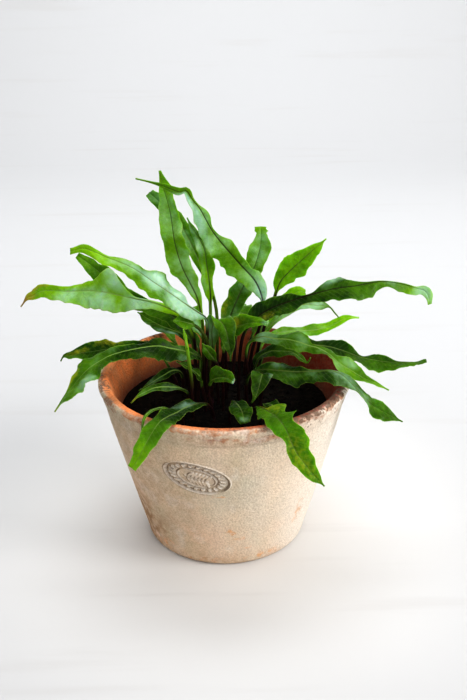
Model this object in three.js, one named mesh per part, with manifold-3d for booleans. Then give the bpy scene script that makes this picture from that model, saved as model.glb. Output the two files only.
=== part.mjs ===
// A kangaroo paw fern in an old terracotta pot.
// Millimetres, +Z up. The origin is the middle of the pot's foot, on the ground,
// +X is to the right and -Y is the side that the plant is looked at from.

import * as THREE from "three";
import { mergeVertices } from "three/addons/utils/BufferGeometryUtils.js";
import Module from "manifold-3d";

const wasm = await Module();
wasm.setup();

// Pot
const rimRadius = 80;
const potHeight = 112;
const footRadius = 51;
const footRound = 5;
const flare = 0.94; // under 1, the wall bows out a little
const wall = 7.5;
const floorThickness = 9;
const collarHeight = 10;
const collarStep = 0.9;
const rimRound = 2.6;
const drainRadius = 7;
const wallHeights = [18, 40, 62, 84];
const floorFillet = 4;
const innerMidZ = 50;
const potSides = 48;

// Soil
const seat = 0.3; // the gap between pieces that touch
const sideSeat = 0.55; // the same at the side, where both walls are faceted
const soilEdgeZ = 88.5;
const soilMound = 3;
const crumbHeight = 1.6;
const soilRings = 7;
const soilSides = 36;

// Fronds
const sink = 9; // how far a stem stands in the soil
const stemRadius = 1.05;
const stemFit = 0.6; // round a stem in its hole
const bladeThickness = 0.8;
const stemStep = 12;
const ringWide = [-1, -0.52, 0, 0.52, 1]; // edge, half blade, rib, half blade, edge
const ringSmall = [-1, 0, 1];

const terracotta = new THREE.MeshStandardMaterial({ color: 0xb98b68, roughness: 0.95, metalness: 0 });
const pottingSoil = new THREE.MeshStandardMaterial({ color: 0x17110d, roughness: 1, metalness: 0 });
const matureGreen = new THREE.MeshStandardMaterial({ color: 0x2f6a23, roughness: 0.4, metalness: 0 });
const freshGreen = new THREE.MeshStandardMaterial({ color: 0x64a51e, roughness: 0.45, metalness: 0 });

// Each frond's rib runs from its root, [x, y] on the soil, through the points [x, y, z].
//   foot         the point of the rib, counted from 1, at which the bare stem ends and the blade starts
//   side         points to the blade's right edge; side x direction of growth is its glossy face
//   twist        for a blade that turns: its turn at foot, middle and tip, in degrees
//   fold         how far each half rises from flat, in degrees
//   wave         [height, number of waves, where they start] of the edges' rise and fall
//   left, right  how far each edge lies from the rib, at even steps from foot to tip
//   end          half width of a blunt tip
//   steps        rings along the blade
//   young        fresh green
const fronds = {
  // The tall ones, left of the middle
  tall_left: {
    root: [-14, 7], foot: 2,
    rib: [
      [-13, 7, 128], [-13, 7, 142], [-14, 7, 151], [-16, 7, 160], [-20, 8, 169], [-24, 8, 178],
      [-27, 9, 187], [-29, 10, 196], [-31, 12, 213], [-33, 11, 223], [-35, 10, 231], [-36, 8, 240],
    ],
    side: [0.95, -0.1, -0.1], fold: 8, wave: [2, 4.2, 0.1],
    left: [1.5, 3, 5, 8, 7.5, 7.5, 7.5, 5.5, 2.5],
    right: [2, 3.5, 6.5, 6, 7.5, 6, 5.5, 5, 5],
    end: 1.5, steps: 18,
  },
  tall_behind: {
    root: [-5, 20], foot: 3,
    rib: [
      [-4, 20, 126], [-4, 21, 141], [-5, 22, 150], [-8, 24, 161], [-12, 25, 171], [-17, 26, 183],
      [-21, 27, 192], [-27, 28, 203], [-33, 28, 210], [-39, 26, 217], [-44, 23, 223],
    ],
    side: [0.9, 0.1, 0.3], fold: 10, wave: [1.6, 3.5, 0.4],
    left: [2, 2.5, 3, 4, 5, 5.5, 4.5, 4, 3.5],
    right: [2, 2.5, 3, 3.5, 4, 4, 4.5, 5, 4],
    steps: 14,
  },
  upright: {
    root: [-8, 13], foot: 3,
    rib: [
      [-8, 12, 126], [-8, 12, 143], [-8, 12, 153], [-8, 12, 163], [-9, 13, 173], [-10, 14, 181],
      [-11, 14, 189], [-14, 14, 196], [-18, 13, 203], [-21, 12, 210],
    ],
    side: [0.95, 0.1, 0.1], fold: 12, wave: [1.8, 3.4, 0.7],
    left: [3, 4.5, 5, 4.5, 4.5, 4.5, 4, 3, 2],
    right: [2.5, 2.5, 3, 5, 4.5, 3, 2.5, 2.5, 2],
    steps: 14,
  },
  arching: {
    root: [14, 6], foot: 3,
    rib: [
      [18, 6, 123], [24, 6, 145], [25, 6, 154], [24, 5, 161], [20, 2, 172], [9, -3, 187],
      [-5, -9, 207], [-13, -12, 223], [-17, -11, 228], [-20, -9, 232], [-24, -7, 231],
      [-36, -1, 234], [-50, 2, 237],
    ],
    side: [0.75, 0.05, 0.65], fold: 9, wave: [1.8, 3.6, 0.35],
    left: [3, 6, 7.5, 9, 9.5, 9.5, 8.5, 8, 6.5, 3.8, 2.5, 2.5, 2, 1.2],
    right: [4, 5.5, 5, 4.2, 4.8, 5.6, 2.8, 2, 3.4, 1.5, 2.5, 2.5, 2, 1.2],
    steps: 22,
  },
  back_upright: {
    root: [2, 21], foot: 2,
    rib: [
      [1, 23, 118], [1, 24, 131], [4, 26, 138], [8, 29, 147], [13, 32, 157], [19, 35, 166],
      [23, 38, 176], [25, 40, 185], [25, 41, 195],
    ],
    side: [0.9, -0.1, -0.3], fold: 12, wave: [1.8, 3.4, 0.2],
    left: [6, 7.5, 7, 6.5, 5.5, 6.5, 7.8, 7, 3.8],
    right: [5, 5.5, 5.5, 7, 5.5, 5.5, 6.5, 7.2, 5],
    end: 3.6, steps: 15,
  },
  backlit: {
    root: [17, 15], foot: 4,
    rib: [
      [22, 15, 120], [26, 14, 136], [30, 14, 148], [33, 13, 159], [36, 12, 168], [42, 10, 176],
      [55, 6, 190], [63, 4, 198],
    ],
    side: [0.75, 0.1, -0.6], fold: 5, wave: [0.6, 2.5, 0.2],
    left: [3.5, 6, 8.5, 9, 7.5, 5, 2.5],
    right: [3.5, 6.5, 8, 8, 7, 5, 3],
    steps: 10, young: true,
  },

  // The long ones to the right
  long_right: {
    root: [9, 0], foot: 2,
    rib: [
      [10, 0, 122], [13, -1, 139], [21, -3, 150], [29, -4, 156], [42, -6, 162], [55, -6, 166],
      [68, -5, 169], [82, -3, 170], [97, 1, 171], [112, 4, 168], [120, 5, 165], [125, 6, 163],
      [128, 6, 159], [129, 5, 154],
    ],
    side: [0, -0.75, -0.65], twist: [0, 0, 55], fold: 10, wave: [1.8, 3.3, 0.55],
    left: [6, 7.5, 7, 6.5, 2, 2.4, 6.2, 6.8, 3, 1.5, 1.2, 1.2, 1.2, 3.4],
    right: [3.5, 7, 9, 9.5, 4.5, 6, 9, 10.5, 10.5, 6.8, 3.2, 5.4, 5, 3],
    end: 2, steps: 22,
  },
  torn_short: {
    root: [1, 9], foot: 2,
    rib: [
      [-1, 6, 115], [0, 4, 124], [-1, 1, 134], [3, -3, 142], [10, -8, 147], [19, -13, 151],
      [27, -17, 152],
    ],
    side: [0, -0.8, -0.6], fold: 10, wave: [1.5, 2.4, 0.3],
    left: [4, 7, 7, 6, 4],
    right: [5, 7, 7, 5.5, 3.5],
    end: 2.4, steps: 9, young: true,
  },
  back_tip: {
    root: [22, 34], foot: 1,
    rib: [
      [24, 38, 118], [28, 42, 129], [36, 46, 137], [44, 50, 142], [51, 52, 146], [55.5, 53, 144.5],
    ],
    side: [0.2, -0.8, -0.6], fold: 6, wave: [0.8, 2, 0.1],
    left: [3, 4, 5, 5],
    right: [3, 4, 5, 5],
    end: 3, steps: 9, young: true,
  },
  back_right: {
    root: [24, 24], foot: 1,
    rib: [
      [24, 26, 112], [25, 28, 123], [35, 32, 134], [44, 36, 140], [54, 40, 141], [63, 43, 139],
      [71, 46, 137], [75, 48, 132], [78, 49, 128],
    ],
    side: [0, -0.8, -0.6], fold: 12, wave: [1.4, 3, 0.4],
    left: [1.5, 3, 3.5, 3.5, 4, 4, 3.2, 0.9],
    right: [1.5, 3, 3.5, 3.5, 4, 4, 2.8, 0.9],
    steps: 11,
  },
  low_back_right: {
    root: [17, 37], foot: 1,
    rib: [
      [23, 40, 107], [30, 46, 115], [41, 51, 117], [52, 57, 115], [64, 63, 113], [73, 68, 113],
      [81, 72, 115], [88, 75, 117], [96, 77, 116],
    ],
    side: [0.2, -0.8, -0.5], fold: 8, wave: [1.2, 3.6, 0.8],
    left: [2, 3, 3.5, 3.5, 4, 4.5, 4.5, 3.5, 2.5],
    right: [2, 3, 3.5, 4, 4.5, 4.5, 4, 3, 2.5],
    end: 1.4, steps: 14, young: true,
  },
  right_arm: {
    root: [18, -6], foot: 1,
    rib: [
      [14, -7, 126], [16, -7, 135], [24, -8, 139], [32, -9, 138], [39, -10, 138], [46, -12, 137],
      [52, -13, 135], [58, -15, 134], [65, -16, 130], [71, -18, 125], [78, -20, 121],
      [85, -22, 117], [93, -24, 114], [101, -26, 110],
    ],
    side: [0, -0.85, -0.5], fold: 14, wave: [2.2, 3.5, 0.2],
    left: [1.5, 2.7, 3.2, 4, 8.5, 2.5, 2.5, 5.5, 6.5, 5, 3, 2],
    right: [1.5, 3, 5.5, 8.5, 8.5, 5, 5, 6, 6.5, 5.5, 4.5, 3],
    steps: 20,
  },
  right_arm_behind: {
    root: [21, 7], foot: 1,
    rib: [
      [23, 8, 112], [26, 8, 121], [31, 9, 125], [40, 10, 126], [49, 10, 126], [59, 10, 125],
      [68, 9, 124], [78, 8, 121], [87, 6, 118], [97, 5, 116], [106, 4, 115], [116, 3, 115],
      [123, 2, 115], [129, 1, 117],
    ],
    side: [0, -0.85, -0.5], fold: 12, wave: [2, 4.2, 0.6],
    left: [1.5, 2.5, 3.5, 5, 3.5, 5.5, 6, 4.5, 2.2, 4.5, 3, 1.5, 1.8],
    right: [1.5, 3, 4.5, 5, 5.5, 6.5, 6.5, 7, 8, 9.5, 8.5, 6, 3],
    end: 2.2, steps: 20,
  },
  right_low: {
    root: [14, -12], foot: 1,
    rib: [
      [14, -13, 110], [17, -15, 118], [25, -17, 121], [34, -19, 121], [44, -21, 121],
      [51, -23, 122], [58, -25, 123], [65, -27, 124], [71, -28, 122], [76, -30, 118],
      [80, -32, 114], [85, -34, 109], [90, -35, 104], [96, -37, 101], [108, -39, 95],
    ],
    side: [0, -0.85, -0.5], fold: 13, wave: [2.2, 4.3, 0.15],
    left: [1.5, 3, 4.5, 5.5, 4, 2, 2, 2, 2.5, 3, 5, 6, 4.5, 3],
    right: [1.2, 2, 6, 11, 12, 9.5, 10, 12, 9.5, 5, 4.5, 6.5, 8, 5],
    steps: 22,
  },
  under_right_arm: {
    root: [23, 0], foot: 1,
    rib: [
      [19, -1, 110], [22, 0, 121], [29, -1, 126], [36, -3, 127], [43, -5, 127], [49, -7, 123],
      [52, -8, 121], [54, -9, 125],
    ],
    side: [0, -0.9, -0.4], fold: 10, wave: [1.2, 2.6, 0.5],
    left: [4, 5, 5, 3],
    right: [4, 5, 5, 3],
    steps: 10,
  },

  // The long ones to the left
  sheen_left: {
    root: [-12, -2], foot: 2,
    rib: [
      [-11, -2, 125], [-10, -2, 142], [-11, -3, 150], [-16, -5, 155], [-21, -8, 160],
      [-32, -11, 170], [-42, -12, 178], [-54, -12, 187], [-68, -11, 193], [-75, -10, 196],
      [-82, -9, 198], [-90, -8, 196],
    ],
    side: [0.1, 0.75, 0.65], fold: 9, wave: [2.2, 3.3, 0.45],
    left: [2, 6.5, 10, 9, 11.5, 11.5, 9.5, 7, 6.5, 7, 4.2, 2.8],
    right: [1.3, 1.8, 2, 4.8, 6.5, 10, 3.4, 3.4, 4.6, 2, 2.2, 3],
    end: 2.6, steps: 20,
  },
  far_left: {
    root: [-19, 2], foot: 2,
    rib: [
      [-18, 3, 118], [-19, 4, 135], [-23, 4, 144], [-28, 5, 150], [-42, 8, 156], [-60, 12, 159],
      [-79, 18, 161], [-99, 24, 159], [-117, 30, 157], [-123, 32, 153], [-127, 33, 151],
      [-132, 34, 145],
    ],
    side: [0, 0.6, 0.8], fold: 7, wave: [1.6, 2.6, 0.1],
    left: [1.5, 2.5, 4, 5.5, 8.5, 11.5, 12.5, 11.5, 9.7, 7.6, 6.1, 4, 2.2],
    right: [1.5, 2, 2.5, 2, 2, 6.5, 15, 8, 5.2, 3.4, 3.5, 4.3, 3.2],
    steps: 20,
  },
  dark_left: {
    root: [-18, 14], foot: 1,
    rib: [
      [-19, 15, 116], [-21, 15, 129], [-28, 16, 139], [-35, 18, 145], [-45, 21, 148],
      [-55, 25, 152], [-65, 29, 157], [-72, 32, 162], [-79, 34, 168], [-86, 35, 174],
      [-93, 36, 179],
    ],
    side: [0.3, 0.6, 0.75], fold: 10, wave: [1.8, 3.8, 0.3],
    left: [2, 4.5, 6, 6, 6, 6.5, 7, 7, 6.2],
    right: [2, 3.5, 4, 4, 3.5, 4, 5.5, 6, 4.2],
    end: 2.4, steps: 17,
  },
  back_left_low: {
    root: [-17, 23], foot: 1,
    rib: [
      [-16, 24, 113], [-18, 25, 121], [-24, 28, 125], [-32, 32, 127], [-41, 36, 129],
      [-49, 40, 132], [-57, 44, 136],
    ],
    side: [0.1, 0.8, 0.55], fold: 10, wave: [1.6, 3, 0.6],
    left: [3, 4, 4, 3.5, 3.5, 4, 5.5, 5, 3],
    right: [3, 4, 5, 6, 7.5, 8, 8, 7, 4.5],
    steps: 12,
  },
  left_arm: {
    root: [-17, -4], foot: 1,
    rib: [
      [-15, -4, 114], [-15, -4, 124], [-20, -6, 128], [-26, -9, 131], [-33, -12, 134],
      [-40, -15, 137], [-54, -19, 137], [-68, -23, 135], [-75, -25, 132], [-81, -28, 129],
      [-86, -31, 125], [-95, -36, 115], [-102, -40, 106],
    ],
    side: [0, 0.88, 0.45], fold: 12, wave: [2.2, 3.6, 0.35],
    left: [2, 6.5, 8.5, 10.5, 11, 12.5, 10.5, 6, 5, 10, 15.5, 14, 9, 6.5],
    right: [1.5, 4, 3.5, 2.5, 6.5, 4.5, 3.6, 3.2, 5.2, 7, 7, 4, 2.5, 2],
    end: 1.2, steps: 22,
  },
  left_arm_behind: {
    root: [-23, 9], foot: 2,
    rib: [
      [-22, 11, 110], [-23, 12, 119], [-28, 12, 123], [-38, 12, 125], [-47, 11, 127],
      [-57, 10, 126], [-66, 8, 126], [-75, 6, 126], [-84, 5, 125], [-91, 3, 125], [-97, 2, 124],
      [-101, 1, 124], [-103, 0, 121],
    ],
    side: [0, 0.88, 0.45], fold: 14, wave: [2, 3.4, 0.8],
    left: [2.5, 5, 6.5, 7, 7, 7, 6.5, 6.5, 4.5],
    right: [2.5, 3.5, 3, 3, 4.5, 7, 6, 6, 3.5],
    steps: 16,
  },

  // Small ones in the middle
  curled_pair: {
    root: [-8, -7], foot: 4,
    rib: [
      [-9, -8, 120], [-9, -9, 132], [-12, -9, 142], [-17, -10, 148], [-22, -12, 151],
      [-26, -14, 153], [-30, -16, 154],
    ],
    side: [0.1, 0.6, 0.8], fold: 18, wave: [0.5, 1.5, 0],
    left: [3.5, 5, 4],
    right: [3, 4.5, 3.5],
    end: 1.4, steps: 8, young: true,
  },
  unrolling: {
    root: [-20, -20], foot: 3,
    rib: [
      [-20, -21, 116], [-21, -21.5, 127], [-22, -22, 138], [-23, -22, 146], [-24, -22, 151],
    ],
    side: [1, 0, 0], fold: 25, wave: [0.2, 1.5, 0],
    left: [1.2, 1.8],
    right: [1.2, 1.8],
    steps: 6, young: true,
  },
  folded_over: {
    root: [-4, 2], foot: 1,
    rib: [
      [-6, 1, 120], [-7, 0, 133], [-7, -1, 142], [-5, -4, 149], [-2, -8, 150], [1, -11, 147],
      [3, -14, 140], [4, -16, 133], [4, -17, 127],
    ],
    side: [-0.9, 0.1, 0.1], fold: 14, wave: [1.4, 2.2, 0.3],
    left: [2, 4, 5, 7, 6, 3],
    right: [2, 4, 5, 5, 5, 3],
    steps: 11,
  },
  small_between: {
    root: [-1, -9], foot: 3,
    rib: [
      [-1, -11, 108], [-3, -12, 118], [-5, -13, 125], [-9, -14, 132], [-13, -14, 138],
    ],
    side: [0.8, 0, 0.6], fold: 10, wave: [0.6, 1.8, 0.3],
    left: [2.5, 3.5, 3.5, 2.5],
    right: [2.5, 3.5, 3.5, 2.5],
    steps: 7,
  },
  young_middle: {
    root: [-8, -13], foot: 2,
    rib: [
      [-10, -15, 104], [-9, -17, 111], [-6, -21, 117], [1, -26, 120], [6, -31, 120],
    ],
    side: [0, -0.7, -0.7], fold: 8, wave: [0.9, 1.8, 0.5],
    left: [4.5, 7.5, 6, 4.5],
    right: [1.5, 3, 3, 2.5],
    end: 2.2, steps: 8, young: true,
  },
  hanging_middle: {
    root: [22, -16], foot: 1,
    rib: [
      [23.5, -20.5, 109], [23.5, -27, 120], [23, -32, 125], [21.5, -36, 121.5], [20, -38.5, 117],
      [18.2, -40.5, 113.5], [16, -41.5, 110.5],
    ],
    side: [-0.95, 0, 0.1], fold: 10, wave: [1.2, 2.4, 0.2],
    left: [2, 3.2, 5.5, 6.5, 5, 3, 1.6],
    right: [2.5, 5, 6, 6, 6, 5, 2.5],
    end: 1, steps: 11,
  },
  left_inner: {
    root: [-12, -9], foot: 1,
    rib: [
      [-14, -9, 106], [-15, -11, 113], [-18, -13, 118], [-23, -15, 123], [-29, -18, 128],
    ],
    side: [-0.2, 0.8, 0.4], fold: 10, wave: [1.2, 2.2, 0.6],
    left: [3, 4.5, 4, 2.5],
    right: [3, 4.5, 4, 2.5],
    steps: 8,
  },

  // Low ones inside the pot and over its front edge
  inside_left: {
    root: [-27, 12], foot: 1,
    rib: [
      [-27, 11, 103], [-29, 9.5, 108], [-33, 7, 110], [-38, 3, 109], [-44, -1, 107], [-50, -4, 104],
      [-54, -7, 103],
    ],
    side: [0, 0.8, 0.5], fold: 8, wave: [0.9, 2.6, 0.1],
    left: [2, 3, 3, 2.5, 2],
    right: [2, 3, 3.5, 3, 2],
    steps: 9,
  },
  inside_left_low: {
    root: [-24, -6], foot: 1,
    rib: [
      [-23, -8, 101], [-28, -11, 106], [-35, -15, 109], [-43, -20, 111], [-49, -24, 110],
      [-53, -27, 109], [-57, -30, 106],
    ],
    side: [0, 0.85, 0.4], fold: 8, wave: [0.8, 2.2, 0.4],
    left: [2, 3, 3, 2.5, 2],
    right: [2, 3, 3, 3, 2],
    steps: 9,
  },
  front_left_small: {
    root: [-26, -30], foot: 1,
    rib: [
      [-31, -37, 103], [-36, -45, 110], [-40, -53, 113.5], [-43, -60, 115.5], [-46, -67, 115],
      [-47, -73, 111], [-47, -76, 106],
    ],
    side: [-0.7, 0.5, 0], fold: 12, wave: [0.5, 2.4, 0.2],
    left: [1.5, 2, 2, 1.5],
    right: [1.5, 2, 2, 1.5],
    steps: 9,
  },
  front_left: {
    root: [-7, -23], foot: 1,
    rib: [
      [-11, -33, 106], [-17, -41, 110], [-23, -49, 112], [-28, -57, 113], [-33, -65, 114.5],
      [-37, -72, 115], [-41, -79, 112], [-45, -85, 107], [-49, -89, 101], [-55, -92, 94],
    ],
    side: [-0.75, 0.5, 0.2], fold: 8, wave: [1.3, 3.2, 0.7],
    left: [4, 4.5, 5, 6, 6, 6, 5, 4.5, 2.5],
    right: [2, 5, 6, 6, 5.5, 6.5, 6.5, 5, 3.5],
    steps: 14,
  },
  front_droop: {
    root: [3, -26], foot: 1,
    rib: [
      [5, -36, 109], [8, -43, 110], [10, -50, 110], [11, -56, 109], [12, -60, 107],
    ],
    side: [-0.95, 0.1, -0.1], fold: 10, wave: [1, 2.2, 0.3],
    left: [3.5, 5.5, 6.5, 5.5],
    right: [4, 6.5, 6.5, 5.5],
    end: 3, steps: 8,
  },
  front_dark: {
    root: [22, -33], foot: 1,
    rib: [
      [24, -40, 108], [26, -44, 111], [29, -48, 112], [33, -52, 112],
    ],
    side: [-0.75, -0.65, 0], fold: 10, wave: [1, 2.3, 0.6],
    left: [2.5, 4, 4.5, 4],
    right: [2.5, 4, 4.5, 4],
    steps: 8,
  },
  front_right: {
    root: [11, -30], foot: 1,
    rib: [
      [19, -45.5, 109.5], [22, -53, 113], [26, -62, 115], [30, -71, 116], [34, -80, 114],
      [37, -87, 109], [40, -91, 104], [44, -93, 99], [48, -95, 94], [55, -96, 86],
    ],
    side: [-0.9, -0.2, -0.3], fold: 8, wave: [1.5, 3.4, 0.2],
    left: [1.5, 1.5, 4, 10, 7, 10, 6.5, 9, 9.5, 9, 7, 5.5, 4, 2.5],
    right: [2.5, 5, 7, 8, 8.5, 8, 7, 5.5, 3.5, 5, 5.5, 5, 4, 2.5],
    steps: 18, young: true,
  },

  // The far side
  back_middle: {
    root: [6, 32], foot: 1,
    rib: [
      [8, 41, 116], [9, 54, 124], [10, 69, 127], [11, 84, 124], [12, 97, 115],
    ],
    side: [0.9, -0.2, 0], twist: [0, 10, 0], fold: 9, wave: [2, 3.4, 0.4],
    left: [3, 7, 9.5, 8, 6, 4],
    right: [3, 8, 8, 9.5, 7, 4],
    steps: 13,
  },
  back_left: {
    root: [-9, 31], foot: 1,
    rib: [
      [-13, 40, 115], [-20, 54, 123], [-28, 69, 126], [-35, 83, 123], [-41, 94, 114],
    ],
    side: [0.8, 0.3, 0], twist: [0, -10, 0], fold: 9, wave: [2, 3.2, 0.9],
    left: [3, 8, 8, 9, 6, 3],
    right: [3, 6, 9, 7, 6, 3],
    steps: 13,
  },
  back_far_left: {
    root: [-25, 29], foot: 1,
    rib: [
      [-30, 37, 111], [-38, 50, 118], [-45, 62, 121], [-51, 73, 119], [-55, 79, 115],
    ],
    side: [0.7, 0.5, 0], twist: [0, 10, 0], fold: 10, wave: [1.6, 3, 0.1],
    left: [2.5, 5.5, 6, 5.5, 3],
    right: [2.5, 5, 6, 5, 3],
    steps: 12,
  },
  back_inside_left: {
    root: [-31, 19], foot: 1,
    rib: [
      [-36, 25, 103], [-41, 32, 108.5], [-45, 38, 108], [-48, 44, 103.5],
    ],
    side: [0.6, 0.8, 0], twist: [0, 10, 0], fold: 10, wave: [1, 2.4, 0.4],
    left: [2, 4, 4.5, 3],
    right: [2, 4, 4.5, 3],
    steps: 9,
  },
  back_middle_right: {
    root: [14, 44], foot: 1,
    rib: [
      [19, 52, 112], [25, 62, 121], [31, 73, 123], [37, 83, 118], [41, 89, 110],
    ],
    side: [0.9, -0.5, 0], twist: [0, 10, 0], fold: 9, wave: [1.6, 2.8, 0.6],
    left: [3, 6.5, 8, 6.5, 4],
    right: [3, 6, 7, 6, 4],
    steps: 12,
  },
};

// Solids

function manifoldOf(geometry) {
  const g = geometry.clone();
  g.deleteAttribute("normal");
  g.deleteAttribute("uv");
  const merged = mergeVertices(g, 1e-4);
  return new wasm.Manifold(
    new wasm.Mesh({
      numProp: 3,
      vertProperties: new Float32Array(merged.attributes.position.array),
      triVerts: new Uint32Array(merged.index.array),
    }),
  );
}

function geometryOf(manifold) {
  const mesh = manifold.getMesh();
  const g = new THREE.BufferGeometry();
  g.setAttribute("position", new THREE.BufferAttribute(mesh.vertProperties, 3));
  g.setIndex(new THREE.BufferAttribute(mesh.triVerts, 1));
  g.computeVertexNormals();
  return g;
}

// Pot: one turned profile, from the drain hole out over the foot, up the wall and back down inside

const outerRadiusAt = (z) => footRadius + (rimRadius - footRadius) * Math.pow(z / potHeight, flare);
const innerRadiusAt = (z) => outerRadiusAt(z) - wall;
const filletZ = floorThickness + floorFillet;
const floorRadius = innerRadiusAt(floorThickness) - floorFillet;

function arc(cx, cz, r, from, to, steps) {
  const points = [];
  for (let i = 0; i <= steps; i++) {
    const a = THREE.MathUtils.degToRad(from + ((to - from) * i) / steps);
    points.push(new THREE.Vector2(cx + r * Math.cos(a), cz + r * Math.sin(a)));
  }
  return points;
}

function potGeometry() {
  const collarZ = potHeight - collarHeight;
  const profile = [
    new THREE.Vector2(drainRadius, 0),
    ...arc(outerRadiusAt(footRound) - footRound, footRound, footRound, -90, -14, 4),
    ...wallHeights.map((z) => new THREE.Vector2(outerRadiusAt(z), z)),
    new THREE.Vector2(outerRadiusAt(collarZ) - collarStep, collarZ - collarStep),
    new THREE.Vector2(outerRadiusAt(collarZ), collarZ),
    ...arc(rimRadius - rimRound, potHeight - rimRound, rimRound, 0, 90, 3),
    ...arc(rimRadius - wall + rimRound, potHeight - rimRound, rimRound, 90, 180, 2),
    new THREE.Vector2(innerRadiusAt(soilEdgeZ), soilEdgeZ),
    new THREE.Vector2(innerRadiusAt(innerMidZ), innerMidZ),
    new THREE.Vector2(innerRadiusAt(filletZ), filletZ),
    new THREE.Vector2(floorRadius, floorThickness),
    new THREE.Vector2(drainRadius, floorThickness),
    new THREE.Vector2(drainRadius, 0),
  ];
  return new THREE.LatheGeometry(profile, potSides).rotateX(Math.PI / 2);
}

// Soil: fills the pot, with a crumbly top and a plain hole for each stem

function soilTop(x, y) {
  const r = Math.hypot(x, y) / innerRadiusAt(soilEdgeZ);
  const crumbs =
    Math.sin(0.31 * x + 1.3) * Math.cos(0.27 * y - 0.4) +
    0.6 * Math.sin(0.53 * x - 0.61 * y + 2.1) +
    0.4 * Math.cos(0.83 * x + 0.47 * y);
  return soilEdgeZ + soilMound * (1 - r * r) + 0.5 * crumbHeight * crumbs * Math.min(1, 4 * (1 - r));
}

function soilGeometry() {
  const lowest = floorThickness + seat;
  const topRadius = innerRadiusAt(soilEdgeZ) - sideSeat;
  const profile = [
    new THREE.Vector2(0, lowest),
    new THREE.Vector2(floorRadius - sideSeat, lowest),
    new THREE.Vector2(innerRadiusAt(filletZ) - sideSeat, filletZ),
    new THREE.Vector2(innerRadiusAt(innerMidZ) - sideSeat, innerMidZ),
  ];
  for (let i = soilRings; i > 0; i--) {
    profile.push(new THREE.Vector2((topRadius * i) / soilRings, soilEdgeZ));
  }
  profile.push(new THREE.Vector2(0, soilEdgeZ));
  const body = new THREE.LatheGeometry(profile, soilSides).rotateX(Math.PI / 2);
  const p = body.attributes.position;
  for (let i = 0; i < p.count; i++) {
    const isTop = p.getZ(i) > soilEdgeZ - seat;
    if (isTop) p.setZ(i, soilTop(p.getX(i), p.getY(i)));
  }
  let solid = manifoldOf(body);
  const holeRadius = (stemRadius + stemFit) / Math.cos(Math.PI / 6);
  for (const { root } of Object.values(fronds)) {
    const depth = 2 * sink;
    const hole = new THREE.CylinderGeometry(holeRadius, holeRadius, depth, 6).rotateX(Math.PI / 2);
    hole.translate(root[0], root[1], soilTop(...root) - sink - seat + depth / 2);
    solid = solid.subtract(manifoldOf(hole));
  }
  return geometryOf(solid);
}

// Frond: one loft of rings, from a round stem to a thin blade with waved and lobed edges

const smooth = (x) => {
  const c = THREE.MathUtils.clamp(x, 0, 1);
  return c * c * (3 - 2 * c);
};

// The rib, and the share of its length at which the blade starts
function ribOf({ root, rib, foot }) {
  const [x, y] = root;
  const z = soilTop(x, y);
  const buried = [[x, y, z - sink], [x, y, z - sink / 3], [x, y, z + sink / 3]];
  const points = [...buried, ...rib].map((p) => new THREE.Vector3(...p));
  const curve = new THREE.CatmullRomCurve3(points, false, "centripetal");
  const lengths = curve.getLengths(200);
  const footIndex = (buried.length + foot - 1) / (points.length - 1);
  return { curve, start: lengths[Math.round(200 * footIndex)] / lengths[200] };
}

// A smooth line through evenly spaced values, at a share x of its length
function through(values, x) {
  const place = THREE.MathUtils.clamp(x, 0, 1) * (values.length - 1);
  const i = Math.min(Math.floor(place), values.length - 2);
  const valueAt = (k) => values[THREE.MathUtils.clamp(k, 0, values.length - 1)];
  const [p0, p1, p2, p3] = [valueAt(i - 1), valueAt(i), valueAt(i + 1), valueAt(i + 2)];
  const s = place - i;
  const slope1 = (p2 - p0) / 2;
  const slope2 = (p3 - p1) / 2;
  const bend = 3 * (p2 - p1) - 2 * slope1 - slope2;
  const ease = 2 * (p1 - p2) + slope1 + slope2;
  return p1 + s * (slope1 + s * (bend + s * ease));
}

function halfWidth(f, x, side) {
  const edge = side > 0 ? f.right : f.left;
  return Math.max(0.35, through([stemRadius, ...edge, f.end ?? 0.6], x));
}

function edgeRise([height, count, start], x, side) {
  const phase = start + (side > 0 ? 0 : 0.37);
  const swell = Math.sqrt(Math.max(0, Math.sin(Math.PI * x)));
  return height * swell * Math.sin(2 * Math.PI * (count * x + phase));
}

function twistAt([foot, middle, tip] = [0, 0, 0], x) {
  return x < 0.5
    ? THREE.MathUtils.lerp(foot, middle, smooth(2 * x))
    : THREE.MathUtils.lerp(middle, tip, smooth(2 * x - 1));
}

// One point of a ring: v runs from -1 at the left edge to 1 at the right one, on the upper or lower face
function sectionPoint(f, x, v, face) {
  const ribRadius = stemRadius * (1 - 0.55 * x);
  const w = x > 0 ? halfWidth(f, x, v) : 0;
  const angle = face * (Math.PI / 2) * (1 - 0.8 * v);
  const round = [ribRadius * Math.cos(angle), ribRadius * Math.sin(angle)];
  const a = Math.abs(v);
  const lift = Math.tan(THREE.MathUtils.degToRad(f.fold));
  const rib = face < 0 && v === 0 ? ribRadius - bladeThickness / 2 : 0;
  const rise = a * w * lift + a * a * edgeRise(f.wave, x, v) * smooth(w / 4);
  const flat = [v * Math.max(w, ribRadius), rise + (face * bladeThickness) / 2 - rib];
  const roundness = 1 - smooth((w - ribRadius) / 2.5);
  return flat.map((value, i) => THREE.MathUtils.lerp(value, round[i], roundness));
}

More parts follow.
